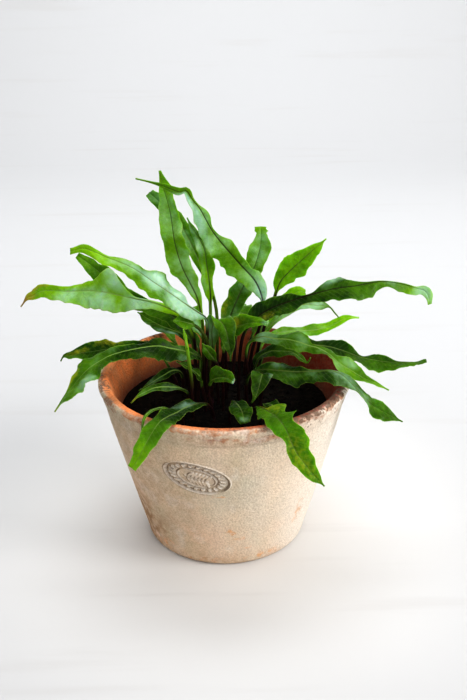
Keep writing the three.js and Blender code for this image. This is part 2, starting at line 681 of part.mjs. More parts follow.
function frondGeometry(f) {
  const { curve, start } = ribOf(f);
  const stemSteps = Math.max(3, Math.round((start * curve.getLength()) / stemStep));
  const places = [];
  for (let i = 0; i < stemSteps; i++) places.push((start * i) / stemSteps);
  for (let i = 0; i <= f.steps; i++) places.push(THREE.MathUtils.lerp(start, 1, i / f.steps));

  const vs = f.steps > 10 ? ringWide : ringSmall;
  const ring = [...vs.map((v) => [v, 1]), ...vs.map((v) => [v, -1]).reverse()];
  const vertices = [];
  for (const t of places) {
    const at = curve.getPointAt(t);
    const along = curve.getTangentAt(t);
    const x = Math.max(0, (t - start) / (1 - start));
    const side = new THREE.Vector3(...f.side);
    side.addScaledVector(along, -side.dot(along)).normalize();
    side.applyAxisAngle(along, THREE.MathUtils.degToRad(twistAt(f.twist, x)));
    const up = new THREE.Vector3().crossVectors(side, along);
    for (const [v, face] of ring) {
      const [across, rise] = sectionPoint(f, x, v, face);
      const point = at.clone().addScaledVector(side, across).addScaledVector(up, rise);
      vertices.push(point.x, point.y, point.z);
    }
  }

  const faces = [];
  const count = ring.length;
  for (let r = 0; r + 1 < places.length; r++) {
    for (let j = 0; j < count; j++) {
      const k = (j + 1) % count;
      const [a, b, c, d] = [r * count + j, r * count + k, (r + 1) * count + k, (r + 1) * count + j];
      // the lower face is split along the same diagonals as the upper one
      if (j < vs.length) faces.push(a, b, c, a, c, d);
      else faces.push(a, b, d, b, c, d);
    }
  }
  const lastRing = (places.length - 1) * count;
  for (let j = 0; j + 1 < vs.length; j++) {
    const [a, b, c, d] = [j, j + 1, count - 2 - j, count - 1 - j];
    faces.push(a, c, b, a, d, c);
    faces.push(...[a, b, c, a, c, d].map((i) => i + lastRing));
  }

  const g = new THREE.BufferGeometry();
  g.setAttribute("position", new THREE.Float32BufferAttribute(vertices, 3));
  g.setIndex(faces);
  g.computeVertexNormals();
  return g;
}

// The plant in its pot

const plant = new THREE.Group();
plant.name = "potted_kangaroo_paw_fern";

function add(name, geometry, material) {
  const mesh = new THREE.Mesh(geometry, material);
  mesh.name = name;
  plant.add(mesh);
}

add("pot", potGeometry(), terracotta);
add("soil", soilGeometry(), pottingSoil);
for (const [name, f] of Object.entries(fronds)) {
  add(`frond_${name}`, frondGeometry(f), f.young ? freshGreen : matureGreen);
}

export default plant;
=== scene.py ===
# A kangaroo paw fern in an old clay pot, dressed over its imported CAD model.
# Sizes here are in millimetres. Meshes are scaled to metres when they are made.

import math
import random

import bmesh
import bpy
from mathutils import Matrix, Quaternion, Vector, noise


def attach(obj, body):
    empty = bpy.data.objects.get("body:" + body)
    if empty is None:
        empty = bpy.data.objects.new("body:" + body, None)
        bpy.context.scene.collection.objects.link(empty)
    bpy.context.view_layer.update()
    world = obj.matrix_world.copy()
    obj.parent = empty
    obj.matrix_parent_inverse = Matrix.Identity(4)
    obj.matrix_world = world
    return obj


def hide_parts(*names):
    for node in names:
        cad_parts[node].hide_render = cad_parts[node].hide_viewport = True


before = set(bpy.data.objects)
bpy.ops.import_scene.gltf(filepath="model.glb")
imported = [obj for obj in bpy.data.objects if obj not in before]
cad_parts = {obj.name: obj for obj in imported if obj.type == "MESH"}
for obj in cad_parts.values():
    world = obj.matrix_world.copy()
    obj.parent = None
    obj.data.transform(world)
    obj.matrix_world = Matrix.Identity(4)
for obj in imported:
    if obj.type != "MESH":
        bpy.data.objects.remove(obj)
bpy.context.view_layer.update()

mm = 0.001
random.seed(7)


# Small helpers

def clamp(value, low=0.0, high=1.0):
    return min(high, max(low, value))


def ease(x):
    # 0 up to 0, 1 from 1 on, smooth between
    c = clamp(x)
    return c * c * (3 - 2 * c)


def bell(x):
    return math.exp(-x * x)


def blend(a, b, share):
    return a + (b - a) * share


def lump(x, y, z, scale=1):
    # a smooth random height, from about -1 to 1
    return noise.noise(Vector((x, y, z)) * scale)


def addLayers(shape, names):
    return [shape.verts.layers.float.new(name) for name in names]


def storeValues(vert, layers, values):
    for layer, value in zip(layers, values):
        vert[layer] = value


def addObject(name, data):
    item = bpy.data.objects.new(name, data)
    bpy.context.scene.collection.objects.link(item)
    return item


def finishMesh(name, shape, material, smooth=True):
    # a bmesh in millimetres becomes an object at the origin
    bmesh.ops.scale(shape, vec=(mm, mm, mm), verts=shape.verts)
    bmesh.ops.recalc_face_normals(shape, faces=shape.faces)
    mesh = bpy.data.meshes.new(name)
    shape.to_mesh(mesh)
    shape.free()
    mesh.polygons.foreach_set("use_smooth", [smooth] * len(mesh.polygons))
    mesh.materials.append(material)
    return addObject(name, mesh)


# Helpers for shader nodes

def fillInputs(tree, node, inputs):
    # inputs: socket name or number -> a value, or another node's socket
    for key, value in inputs.items():
        if isinstance(value, bpy.types.NodeSocket):
            tree.links.new(value, node.inputs[key])
        else:
            node.inputs[key].default_value = value


def addNode(tree, kind, inputs=None, **settings):
    node = tree.nodes.new(kind)
    for key, value in settings.items():
        setattr(node, key, value)
    fillInputs(tree, node, inputs or {})
    return node


def calculate(tree, operation, a, b=0.0):
    return addNode(tree, "ShaderNodeMath", {0: a, 1: b}, operation=operation).outputs[0]


def plus(tree, a, b):
    return calculate(tree, "ADD", a, b)


def times(tree, a, b):
    return calculate(tree, "MULTIPLY", a, b)


def uneven(tree, value, mask, amount):
    # a mask from 0 to 1 moves the value down and up, by half the amount each way
    return plus(tree, value, times(tree, calculate(tree, "SUBTRACT", mask, 0.5), amount))


def stepMask(tree, value, low, high):
    # 0 under low, 1 over high, smooth between; with low over high it falls
    node = addNode(tree, "ShaderNodeMapRange", {0: value, 1: low, 2: high}, interpolation_type="SMOOTHSTEP")
    return node.outputs[0]


def mixColour(tree, share, a, b, way="MIX"):
    # a and b are sockets, or colours of three numbers
    a, b = [c if isinstance(c, bpy.types.NodeSocket) else (*c, 1) for c in (a, b)]
    node = addNode(tree, "ShaderNodeMix", {0: share, 6: a, 7: b}, data_type="RGBA", blend_type=way)
    return node.outputs[2]


def paintOver(tree, colour, *coats):
    # coats: (share, colour), each laid over the ones before
    for share, coat in coats:
        colour = mixColour(tree, share, colour, coat)
    return colour


def readAttribute(tree, name):
    return addNode(tree, "ShaderNodeAttribute", attribute_name=name).outputs["Fac"]


def objectPlace(tree):
    return addNode(tree, "ShaderNodeTexCoord").outputs["Object"]


def noiseTexture(tree, **inputs):
    return addNode(tree, "ShaderNodeTexNoise", inputs).outputs["Fac"]


def bumpNormal(tree, strength, distance, height):
    bump = addNode(tree, "ShaderNodeBump", {"Strength": strength, "Distance": distance, "Height": height})
    return bump.outputs["Normal"]


def startGroup(name, inputs, outputs):
    # inputs: name -> default number; outputs: the names of numbers
    tree = bpy.data.node_groups.new(name, "ShaderNodeTree")
    for label, value in inputs.items():
        socket = tree.interface.new_socket(label, in_out="INPUT", socket_type="NodeSocketFloat")
        socket.default_value = value
    for label in outputs:
        tree.interface.new_socket(label, in_out="OUTPUT", socket_type="NodeSocketFloat")
    return tree, addNode(tree, "NodeGroupInput").outputs, addNode(tree, "NodeGroupOutput")


def useGroup(tree, group, inputs):
    return addNode(tree, "ShaderNodeGroup", inputs, node_tree=group).outputs


def startMaterial(name):
    material = bpy.data.materials.new(name)
    material.use_nodes = True
    tree = material.node_tree
    return material, tree, tree.nodes["Principled BSDF"]


# Camera, light and floor

cameraSpec = dict(
    place=(0, -558.8, 377.9),
    right=(0.9998, -0.0154, -0.0097),
    up=(0.0151, 0.4094, 0.9122),
    lens=50, sensor=36,
)

stageSpec = dict(
    width=3200, front=-1500, back=1000, bend=700, wallTop=1800,
    colour=(0.545, 0.542, 0.545), wear=(0.495, 0.48, 0.47), wearShare=0.35, roughness=0.8,
    streaks=(1.2, 14, 1), streakFrom=0.56, streakTo=0.74,
    # the floor is painted paler near the pot, a painted pool of light that lifts the pot's shadow: distances
    # in metres
    near=(0.69, 0.68, 0.669), paintedLightFrom=0.24, paintedLightTo=0.05,
)

lightSpec = dict(
    sky=(0.93, 0.96, 1.0), skyStrength=0.25, backdrop=(0.62, 0.63, 0.64),
    lamps=[
        # name, place, aim, size, watts, colour, whether it shows in reflections
        ("window_right", (2200, -840, 1290), (0, 0, 110), 1040, 40, (1.0, 0.988, 0.972), True),
        ("back_right", (950, 330, 620), (0, 0, 120), 700, 1.5, (1.0, 0.985, 0.96), True),
        ("room_left", (-1800, 0, 860), (0, 0, 90), 1200, 6.4, (1.0, 0.96, 0.915), True),
        ("room_front", (450, -1110, 750), (0, 0, 80), 1100, 7.8, (1.0, 0.985, 0.965), False),
        ("front_above", (60, -600, 1300), (0, -280, 0), 900, 1.9, (0.98, 0.99, 1.0), False),
        ("wall_light", (0, 520, 1250), (0, 1080, 320), 900, 15.5, (0.95, 0.98, 1.0), False),
    ],
)


def makeCamera(spec):
    right = Vector(spec["right"]).normalized()
    up = Vector(spec["up"]).normalized()
    back = right.cross(up).normalized()
    turn = Matrix((right, up, back)).transposed().to_4x4()
    camera = bpy.data.cameras.new("photo_camera")
    camera.lens = spec["lens"]
    camera.sensor_width = spec["sensor"]
    camera.clip_start = 0.01
    holder = addObject("photo_camera", camera)
    holder.matrix_world = Matrix.Translation(Vector(spec["place"]) * mm) @ turn
    bpy.context.scene.camera = holder


def makeStageMaterial(spec):
    material, tree, shader = startMaterial("pale_floor")
    place = objectPlace(tree)
    stretched = addNode(tree, "ShaderNodeMapping", {"Vector": place, "Scale": spec["streaks"]}).outputs[0]
    streaks = noiseTexture(tree, Vector=stretched, Scale=3.0, Detail=6.0)
    worn = times(tree, stepMask(tree, streaks, spec["streakFrom"], spec["streakTo"]), spec["wearShare"])
    # painted light: near the pot the floor's colour is raised to the near colour, lifting the pot's shadow
    far = addNode(tree, "ShaderNodeVectorMath", {0: place}, operation="LENGTH").outputs["Value"]
    paintedLightNearPot = stepMask(tree, far, spec["paintedLightFrom"], spec["paintedLightTo"])
    paint = paintOver(tree, spec["colour"], (paintedLightNearPot, spec["near"]), (worn, spec["wear"]))
    fillInputs(tree, shader, {"Base Color": paint, "Roughness": spec["roughness"]})
    return material


def makeStage(spec):
    # one sweep: a floor that bends up into a wall
    shape = bmesh.new()
    bmesh.ops.create_grid(shape, x_segments=2, y_segments=48, size=1)
    flat = spec["back"] - spec["front"]
    arc = math.pi / 2 * spec["bend"]
    rise = spec["wallTop"] - spec["bend"]
    for vert in shape.verts:
        run = (vert.co.y + 1) / 2 * (flat + arc + rise)
        vert.co.x *= spec["width"] / 2
        turned = clamp((run - flat) / arc) * math.pi / 2
        vert.co.y = spec["front"] + min(run, flat) + spec["bend"] * math.sin(turned)
        vert.co.z = spec["bend"] * (1 - math.cos(turned)) + max(0, run - flat - arc)
    sweep = finishMesh("floor_sweep", shape, makeStageMaterial(spec))


def makeLights(spec):
    world = bpy.data.worlds.new("soft_room")
    bpy.context.scene.world = world
    world.use_nodes = True
    tree = world.node_tree
    sky = tree.nodes["Background"]
    fillInputs(tree, sky, {"Color": (*spec["sky"], 1), "Strength": spec["skyStrength"]})
    # past the floor's edge the eye meets a pale backdrop, which lights nothing
    seen = addNode(tree, "ShaderNodeLightPath").outputs["Is Camera Ray"]
    backdrop = addNode(tree, "ShaderNodeBackground", {"Color": (*spec["backdrop"], 1)})
    both = addNode(tree, "ShaderNodeMixShader", {0: seen, 1: sky.outputs[0], 2: backdrop.outputs[0]})
    fillInputs(tree, tree.nodes["World Output"], {"Surface": both.outputs[0]})
    for name, place, aim, size, watts, colour, shines in spec["lamps"]:
        lamp = bpy.data.lights.new(name, "AREA")
        lamp.shape = "SQUARE"
        lamp.size = size * mm
        lamp.energy = watts
        lamp.color = colour
        holder = addObject(name, lamp)
        away = Vector(place) - Vector(aim)
        holder.rotation_mode = "QUATERNION"
        holder.rotation_quaternion = away.to_track_quat("Z", "Y")
        holder.location = Vector(place) * mm
        holder.visible_glossy = shines


bpy.context.scene.view_settings.view_transform = "Standard"
bpy.context.scene.view_settings.look = "Medium High Contrast"
makeCamera(cameraSpec)
makeStage(stageSpec)
makeLights(lightSpec)
print("camera, light and floor are up")


# Effects that several finishes share

def makeBlotches():
    # soft-edged patches in the object's own space: a mask
    inputs = {"Scale": 20.0, "Detail": 4.0, "From": 0.5, "To": 0.6, "Shift": 0.0}
    tree, given, end = startGroup("blotches", inputs, ["Mask"])
    place = {0: objectPlace(tree), 1: given["Shift"]}
    moved = addNode(tree, "ShaderNodeVectorMath", place, operation="ADD").outputs[0]
    cloud = noiseTexture(tree, Vector=moved, Scale=given["Scale"], Detail=given["Detail"])
    fillInputs(tree, end, {"Mask": stepMask(tree, cloud, given["From"], given["To"])})
    return tree


def makeGrain():
    # a fine mineral grain: a height for Bump and specks for colour
    inputs = {"Scale": 1200.0, "Speck Scale": 900.0, "Speck Size": 0.25}
    tree, given, end = startGroup("grain", inputs, ["Height", "Specks"])
    place = objectPlace(tree)
    fine = noiseTexture(tree, Vector=place, Scale=given["Scale"], Detail=5.0)
    coarse = noiseTexture(tree, Vector=place, Scale=160.0, Detail=3.0)
    cells = addNode(tree, "ShaderNodeTexVoronoi", {"Vector": place, "Scale": given["Speck Scale"]})
    dots = stepMask(tree, cells.outputs["Distance"], given["Speck Size"], 0.0)
    fillInputs(tree, end, {"Height": plus(tree, fine, times(tree, coarse, 0.6)), "Specks": dots})
    return tree


blotches = makeBlotches()
grain = makeGrain()


def cloudMask(tree, scale, detail, low, high, shift=0.0):
    inputs = {"Scale": scale, "Detail": detail, "From": low, "To": high, "Shift": shift}
    return useGroup(tree, blotches, inputs)["Mask"]


def grainMarks(tree, scale, speckScale, speckSize):
    return useGroup(tree, grain, {"Scale": scale, "Speck Scale": speckScale, "Speck Size": speckSize})


# The pot

potSpec = dict(
    rimRadius=80, height=112, footRadius=51, footRound=5, flare=0.94, wall=7.5, floor=9, fillet=4,
    rimRound=2.6, drainRadius=7, steps=300, rowGap=1.45, innerGap=2.5, footRows=(20, 34), floorRow=25,
    # the wall's slow waves, its fine unevenness, and how far from foot and rim both fade
    wobble=0.35, wobbleScale=0.022, rough=0.07, roughScale=0.35, footFade=10, rimFade=4,
    # the uneven top of the rim, and where the rim's own marks begin
    topFrom=109.6, topOver=1.8, topSink=0.12, topWave=0.22, topPits=0.16, rimFrom=108.9, rimOver=2.2,
    # the bare inside begins this far out from the middle of the wall
    insideFrom=2.2, insideOver=1.6,
    # the wall draws in slightly towards the crease, and steps out again over it
    step=0.35, stepFrom=84, stepOver=16, stepEdge=1.5,
    # slopes are measured over this turn and rise; how strongly creases, stamp and slopes turned from the light
    # are painted dark as shade, and slopes facing the light painted pale as a highlight
    slopeTurn=0.4, slopeRise=0.22, creaseShade=0.8, stampShade=0.35, slopeShade=1.9, slopeHighlight=1.7,
    # a crease in the collar's foot: turn in degrees from the front, width, strength
    crease=dict(z=101.2, width=0.6, depth=0.9,
                turns=((-34, 15, 0.55), (-3, 15, 1.0), (14, 15, 0.8), (48, 15, 0.4), (150, 15, 0.5))),
    # a scar in the wall: turn, z, wide, tall, share of its depth
    dentDepth=0.9, dent=[(49, 32, 2.6, 13, 1.0)],
    # chips in the rim's outer edge: turn, size, depth
    chipZ=110.6, chipReach=1.2, chipUneven=0.4, chipWarm=0.95, chipWarmReach=1.5,
    chips=[(-62, 5, 0.9), (-38, 3.5, 0.8), (-7, 4, 0.9), (9, 3, 0.6), (31, 3, 0.7), (41, 4, 1.1),
           (52, 5, 1.2), (63, 3, 0.9), (101, 4, 0.8), (140, 5, 1.0), (-120, 4, 0.8), (-155, 6, 1.0)],
    # where grime lies on the rim: turn, width, strength
    dirt=[(48, 34, 1.0), (-75, 22, 0.45), (5, 25, 0.3), (150, 40, 0.7), (-130, 35, 0.6)],
    # where the wall is palest: turn, width, strength
    pale=[(62, 34, 1.0), (-150, 30, 0.6), (-5, 10, 0.25), (21, 15, 0.35)],
    # where the bloom has rubbed off and the clay shows: turn, z, wide, tall, strength
    warm=[(-8, 110.2, 20, 1.2, 0.7), (0, 106.2, 12, 1.8, 1.1), (16, 104.3, 12, 2.2, 1.25),
          (28, 107, 9, 2, 0.9), (-64, 108, 14, 3, 0.8), (-42, 109.5, 10, 2, 0.8), (44, 108.5, 16, 2.4, 0.8),
          (60, 104, 10, 5, 0.6), (-3, 61, 5, 1.4, 0.95), (3, 31, 3, 3, 0.95), (9, 24, 5, 1.6, 0.85),
          (49, 30, 3, 16, 0.8), (-18, 5, 26, 2.5, 0.7), (24, 6, 16, 3, 0.7), (-50, 9, 16, 5, 0.8),
          (12, 15, 4, 1.2, 0.8), (-26, 43, 4, 1.2, 0.7), (58, 52, 3, 14, 0.6), (120, 100, 25, 6, 0.8),
          (170, 70, 9, 14, 0.7), (-140, 95, 18, 8, 0.7), (150, 20, 20, 8, 0.8), (-110, 30, 10, 12, 0.7)],
    # where the wall is stained brown, and where its left and lower left side is painted darker as shade: turn,
    # z, wide, tall, strength
    stainAndShade=[(-66, 20, 26, 26, 1.0), (-88, 70, 22, 46, 0.55), (-48, 62, 30, 60, 0.4), (4, 104.5, 34, 3.5, 0.45),
           (-10, 2, 60, 7, 0.5), (-46, 101, 24, 7, 0.4), (160, 40, 40, 40, 0.5), (-150, 20, 30, 20, 0.5)],
)

stampSpec = dict(
    turn=-14.2, z=75.3, tilt=-13, halfWide=20.6, halfTall=11.4, lean=1.03,
    # how far out its relief goes, as a share of the oval, and how far the wall is made finer
    reliefReach=1.25, reach=25, reachTall=18,
    # panelShade: how strongly the sunken panel is painted darker as shade
    panel=0.6, panelReach=1.02, panelEdge=0.7, panelShade=0.4, ridge=0.95, ridgeWide=0.55,
    innerRing=0.58, innerShare=0.75, innerWide=0.85,
    # a groove outside the outer ring and one inside the inner ring: width, and offset in widths
    groove=0.5, outerGroove=(0.55, 2.3), innerGroove=(0.5, -2),
    dashes=22, dash=1.2, dashSlant=1.1, dashWide=0.6, dashEdge=0.24, bandFrom=0.68, bandTo=0.88, bandEdge=0.5,
    leaf=1.15, stemHalf=8.2, stemWide=0.42, stemEnd=1.2, leaflets=6, leafletFrom=-0.72, leafletTo=0.62,
    leafletLong=3.1, leafletWide=1.15, leafletLean=52, leafletSwell=1.6,
)


def outerRadiusAt(z):
    foot, rim = potSpec["footRadius"], potSpec["rimRadius"]
    return foot + (rim - foot) * (max(z, 0) / potSpec["height"]) ** potSpec["flare"]


def innerRadiusAt(z):
    return outerRadiusAt(z) - potSpec["wall"]


def arcPoints(cx, cz, radius, start, end, steps):
    angles = [math.radians(start + (end - start) * i / steps) for i in range(steps + 1)]
    return [(cx + radius * math.cos(a), cz + radius * math.sin(a)) for a in angles]


def rise(fromZ, toZ, radiusAt, gap):
    count = max(1, round(abs(toZ - fromZ) / gap))
    heights = [fromZ + (toZ - fromZ) * i / count for i in range(1, count)]
    return [(radiusAt(z), z) for z in heights]


def potProfile(spec):
    # from the drain hole out over the foot, up the wall, over the rim and down inside
    footRound, rimRound, floor = spec["footRound"], spec["rimRound"], spec["floor"]
    filletZ = floor + spec["fillet"]
    innerTop = spec["height"] - rimRound
    footMid = outerRadiusAt(footRound) - footRound
    points = [(radius, 0) for radius in (spec["drainRadius"], *spec["footRows"])]
    points += arcPoints(footMid, footRound, footRound, -90, -14, 7)
    points += rise(footRound + 0.2, innerTop, outerRadiusAt, spec["rowGap"])
    points += arcPoints(spec["rimRadius"] - rimRound, innerTop, rimRound, 0, 90, 7)
    points += arcPoints(spec["rimRadius"] - spec["wall"] + rimRound, innerTop, rimRound, 90, 180, 6)
    points += rise(innerTop, filletZ, innerRadiusAt, spec["innerGap"])
    points += [(innerRadiusAt(filletZ), filletZ), (innerRadiusAt(floor) - spec["fillet"], floor)]
    return points + [(spec["floorRow"], floor), (spec["drainRadius"], floor)]


def turnOf(co):
    # degrees round the pot: 0 at the front, rising to the right
    return math.degrees(math.atan2(co.x, -co.y))


def turnGap(a, b):
    return (a - b + 180) % 360 - 180


def bandAt(bands, turn):
    # the strongest of some soft upright bands here
    return max(most * bell(turnGap(turn, at) / wide) for at, wide, most in bands)


def patchAt(patches, turn, z):
    # the strongest of some soft round patches here
    return max(
        most * bell(turnGap(turn, at) / wide) * bell((z - middle) / tall)
        for at, middle, wide, tall, most in patches
    )


def leafletRelief(spec, a, b):
    # a sprig of leaflets along a short stem, in the stamp's own plane
    height = bell(b / spec["stemWide"]) * ease((spec["stemHalf"] - abs(a)) / spec["stemEnd"])
    lean = math.radians(spec["leafletLean"])
    for i in range(spec["leaflets"]):
        share = blend(spec["leafletFrom"], spec["leafletTo"], i / (spec["leaflets"] - 1))
        foot = share * spec["stemHalf"]
        for way in (1, -1):
            along = (a - foot) * math.cos(lean) + way * b * math.sin(lean) - spec["leafletLong"]
            across = -(a - foot) * math.sin(lean) + way * b * math.cos(lean)
            inside = 1 - (along / spec["leafletLong"]) ** 2 - (across / spec["leafletWide"]) ** 2
            height = max(height, ease(inside * spec["leafletSwell"]))
    return height


def stampRelief(spec, turn, z):
    # how far the stamp raises the wall here, and how much painted shade its grooves and sunken panel get
    a0 = math.radians(turnGap(turn, spec["turn"])) * outerRadiusAt(spec["z"])
    b0 = (z - spec["z"]) * spec["lean"]
    tilt = math.radians(spec["tilt"])
    a = a0 * math.cos(tilt) + b0 * math.sin(tilt)
    b = -a0 * math.sin(tilt) + b0 * math.cos(tilt)
    oval = math.hypot(a / spec["halfWide"], b / spec["halfTall"])
    if oval > spec["reliefReach"]:
        return 0, 0
    spin = math.atan2(b / spec["halfTall"], a / spec["halfWide"])
    mean = math.hypot(math.cos(spin) * spec["halfWide"], math.sin(spin) * spec["halfTall"])
    fromOuter = (oval - 1) * mean
    fromInner = (oval - spec["innerRing"]) * mean
    outer = bell(fromOuter / spec["ridgeWide"])
    inner = bell(fromInner / (spec["ridgeWide"] * spec["innerWide"]))
    (outerWide, outerOff), (innerWide, innerOff) = spec["outerGroove"], spec["innerGroove"]
    moat = max(bell(fromOuter / outerWide + outerOff), bell(fromInner / innerWide + innerOff))
    panel = ease((spec["panelReach"] - oval) * mean / spec["panelEdge"])
    band = ease((oval - spec["bandFrom"]) * mean / spec["bandEdge"])
    band *= ease((spec["bandTo"] - oval) * mean / spec["bandEdge"])
    beat = abs((spin / (2 * math.pi) * spec["dashes"] + oval * spec["dashSlant"]) % 1 - 0.5) * 2
    dash = band * ease((spec["dashWide"] - beat) / spec["dashEdge"])
    leaf = leafletRelief(spec, a, b) if oval < spec["innerRing"] else 0
    rings = outer + spec["innerShare"] * inner
    height = spec["ridge"] * rings - spec["panel"] * panel - spec["groove"] * moat
    height += spec["dash"] * dash + spec["leaf"] * leaf
    return height, clamp(moat + spec["panelShade"] * panel * (1 - max(dash, leaf, outer, inner)))


def wallRelief(spec, turn, z):
    # how far the outer wall moves out here, how much painted shade it gets in the crease, the stamp and on
    # slopes turned from the light, and how much painted highlight on slopes facing the light
    crease = spec["crease"]
    slit = bell((z - crease["z"]) / crease["width"]) * bandAt(crease["turns"], turn)
    step = ease((crease["z"] - z) / spec["stepEdge"]) * ease((z - spec["stepFrom"]) / spec["stepOver"])
    press = spec["dentDepth"] * patchAt(spec["dent"], turn, z)
    stampHeight, stampPaintedShade = stampRelief(stampSpec, turn, z)
    lower, _ = stampRelief(stampSpec, turn - spec["slopeTurn"], z - spec["slopeRise"])
    upper, _ = stampRelief(stampSpec, turn + spec["slopeTurn"], z + spec["slopeRise"])
    slope = lower - upper
    height = stampHeight - crease["depth"] * slit - spec["step"] * step - press
    paintedShade = spec["creaseShade"] * slit + spec["stampShade"] * stampPaintedShade + spec["slopeShade"] * max(0, -slope)
    return height, clamp(paintedShade), clamp(spec["slopeHighlight"] * slope)


def subdivideStamp(shape, spec):
    reach = spec["reach"] / outerRadiusAt(spec["z"])
    edges = []
    for edge in shape.edges:
        mid = (edge.verts[0].co + edge.verts[1].co) / 2
        near = abs(math.radians(turnGap(turnOf(mid), spec["turn"]))) < reach
        near = near and abs(mid.z - spec["z"]) < spec["reachTall"]
        if near and math.hypot(mid.x, mid.y) > outerRadiusAt(mid.z) - 1:
            edges.append(edge)
    bmesh.ops.subdivide_edges(shape, edges=edges, cuts=3, use_grid_fill=True)


potMarks = ("paintedShade", "warm", "inside", "rim", "dirt", "pale", "stainAndShade")


def wearVert(spec, co):
    # moves one point of the turned pot and returns its marks, in the order of potMarks
    radius, turn, z = math.hypot(co.x, co.y), turnOf(co), co.z
    out = Vector((co.x / radius, co.y / radius, 0))
    middle = outerRadiusAt(z) - spec["wall"] / 2
    outside = ease((radius - middle) / 2)
    height, paintedShade, warm, paintedHighlight = 0, 0, 0, 0
    if radius > middle:
        if z > 0.5:
            height, paintedShade, paintedHighlight = wallRelief(spec, turn, z)
            warm = patchAt(spec["warm"], turn, z)
        fade = ease(z / spec["footFade"]) * ease((spec["height"] - z) / spec["rimFade"] + 0.35)
        height -= spec["wobble"] * (0.5 + lump(co.x, co.y, z * 0.8, spec["wobbleScale"])) * fade
        height += spec["rough"] * lump(*co, spec["roughScale"]) * fade
    for at, size, depth in spec["chips"]:
        far = math.hypot(math.radians(turnGap(turn, at)) * radius, z - spec["chipZ"]) / size
        bite = ease(spec["chipReach"] - far) * outside
        height -= depth * bite * (0.8 + spec["chipUneven"] * lump(*co, 0.9))
        warm = max(warm, spec["chipWarm"] * ease(spec["chipWarmReach"] - far) * outside)
    sink = spec["topSink"] + spec["topWave"] * lump(co.x, co.y, 3, 0.05) + spec["topPits"] * lump(*co, 0.8)
    co.z -= ease((z - spec["topFrom"]) / spec["topOver"]) * sink
    co.x += out.x * height
    co.y += out.y * height
    turn, z = turnOf(co), co.z
    inside = ease((middle - radius + spec["insideFrom"]) / spec["insideOver"])
    if z <= spec["floor"] + 0.5:
        inside = 0
    rim = ease((z - spec["rimFrom"]) / spec["rimOver"])
    # the pale mark also takes the painted highlight on stamp slopes that face the light
    pale = max(bandAt(spec["pale"], turn), paintedHighlight)
    # real stains, and painted shade on the pot's left and lower left side
    stainAndShade = patchAt(spec["stainAndShade"], turn, z)
    return paintedShade, warm, inside, rim, bandAt(spec["dirt"], turn), pale, stainAndShade


def makePot(spec):
    shape = bmesh.new()
    corners = [shape.verts.new((0, -radius, z)) for radius, z in potProfile(spec)]
    edges = [shape.edges.new(pair) for pair in zip(corners, corners[1:] + corners[:1])]
    bmesh.ops.spin(
        shape, geom=corners + edges, cent=(0, 0, 0), axis=(0, 0, 1), angle=2 * math.pi,
        steps=spec["steps"], use_merge=True, use_normal_flip=False,
    )
    bmesh.ops.remove_doubles(shape, verts=shape.verts, dist=0.01)
    subdivideStamp(shape, stampSpec)
    layers = addLayers(shape, potMarks)
    for vert in shape.verts:
        storeValues(vert, layers, wearVert(spec, vert.co))
    piece = finishMesh("pot_wall", shape, makePotMaterial(clayLook))
    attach(piece, "root")
    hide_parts("pot")


clayLook = dict(
    bloom=(0.76, 0.60, 0.43), bloomGrey=(0.58, 0.50, 0.375), bloomPink=(0.76, 0.52, 0.35),
    lime=(0.84, 0.78, 0.70), clay=(0.52, 0.225, 0.095), clayDeep=(0.33, 0.125, 0.052),
    # inner is painted bright as lit clay; innerShade is painted shade on the right inner wall; dampAndShade is
    # partly damp clay and partly painted shade above the soil
    inner=(0.90, 0.27, 0.08), innerShade=(0.26, 0.035, 0.014), dampAndShade=(0.16, 0.045, 0.022),
    # stainAndShade colours real stains and the painted shade on the pot's left side
    stainAndShade=(0.36, 0.21, 0.11), fleck=(0.70, 0.38, 0.19), pit=(0.07, 0.04, 0.025),
    # shadeInHollows is the colour of the painted shade in creases, stamp grooves and shaded slopes
    grime=(0.13, 0.075, 0.05), shadeInHollows=(0.13, 0.085, 0.055), speck=(0.30, 0.21, 0.13),
    moss=(0.52, 0.48, 0.32), sandDark=(0.82, 0.805, 0.79), sandLight=(1.04, 1.04, 1.04),
    roughness=0.9, shine=0.25, bump=0.75, bumpHeight=0.0010,
    # patches: scale, detail, from, to, shift
    masks=dict(
        grey=(24.0, 6.0, 0.36, 0.68), pink=(34.0, 6.0, 0.42, 0.7, 0.2), lime=(60.0, 9.0, 0.48, 0.74, 0.3),
        moss=(42.0, 9.0, 0.50, 0.76, 0.7), fray=(210.0, 9.0, 0.30, 0.70, 0.5),
        deep=(70.0, 7.0, 0.36, 0.66, 0.9), sand=(950.0, 2.0, 0.3, 0.68, 0.1),
        grit=(430.0, 4.0, 0.36, 0.64, 0.6),
    ),
    # grains: scale, scale of the specks, size of the specks
    specks=(800.0, 520.0, 0.24), pits=(500.0, 340.0, 0.42),
)


def bloomColour(tree, look, masks, marks, height):
    # the pale bloom, with grey, pink, mossy, chalky and stained places; the chalky mix also carries the
    # painted highlight on stamp slopes, and the stain mix painted shade on the left side
    chalkAndHighlight = calculate(tree, "MAXIMUM", times(tree, marks["pale"], 0.8), times(tree, masks["lime"], 0.5))
    pink = plus(tree, masks["pink"], stepMask(tree, height, 0.075, 0.012))
    return paintOver(
        tree, look["bloom"], (masks["grey"], look["bloomGrey"]), (times(tree, pink, 0.45), look["bloomPink"]),
        (times(tree, masks["moss"], 0.4), look["moss"]), (chalkAndHighlight, look["lime"]),
        (times(tree, marks["stainAndShade"], plus(tree, masks["fray"], 0.4)), look["stainAndShade"]),
    )


def clayColour(tree, look, masks, height):
    # the clay that shows where the bloom is worn
    flaky = plus(tree, times(tree, masks["lime"], 0.6), times(tree, masks["grit"], 0.3))
    return paintOver(
        tree, look["clay"], (masks["deep"], look["clayDeep"]),
        (stepMask(tree, height, 0.1025, 0.099), look["fleck"]), (flaky, look["lime"]),
    )


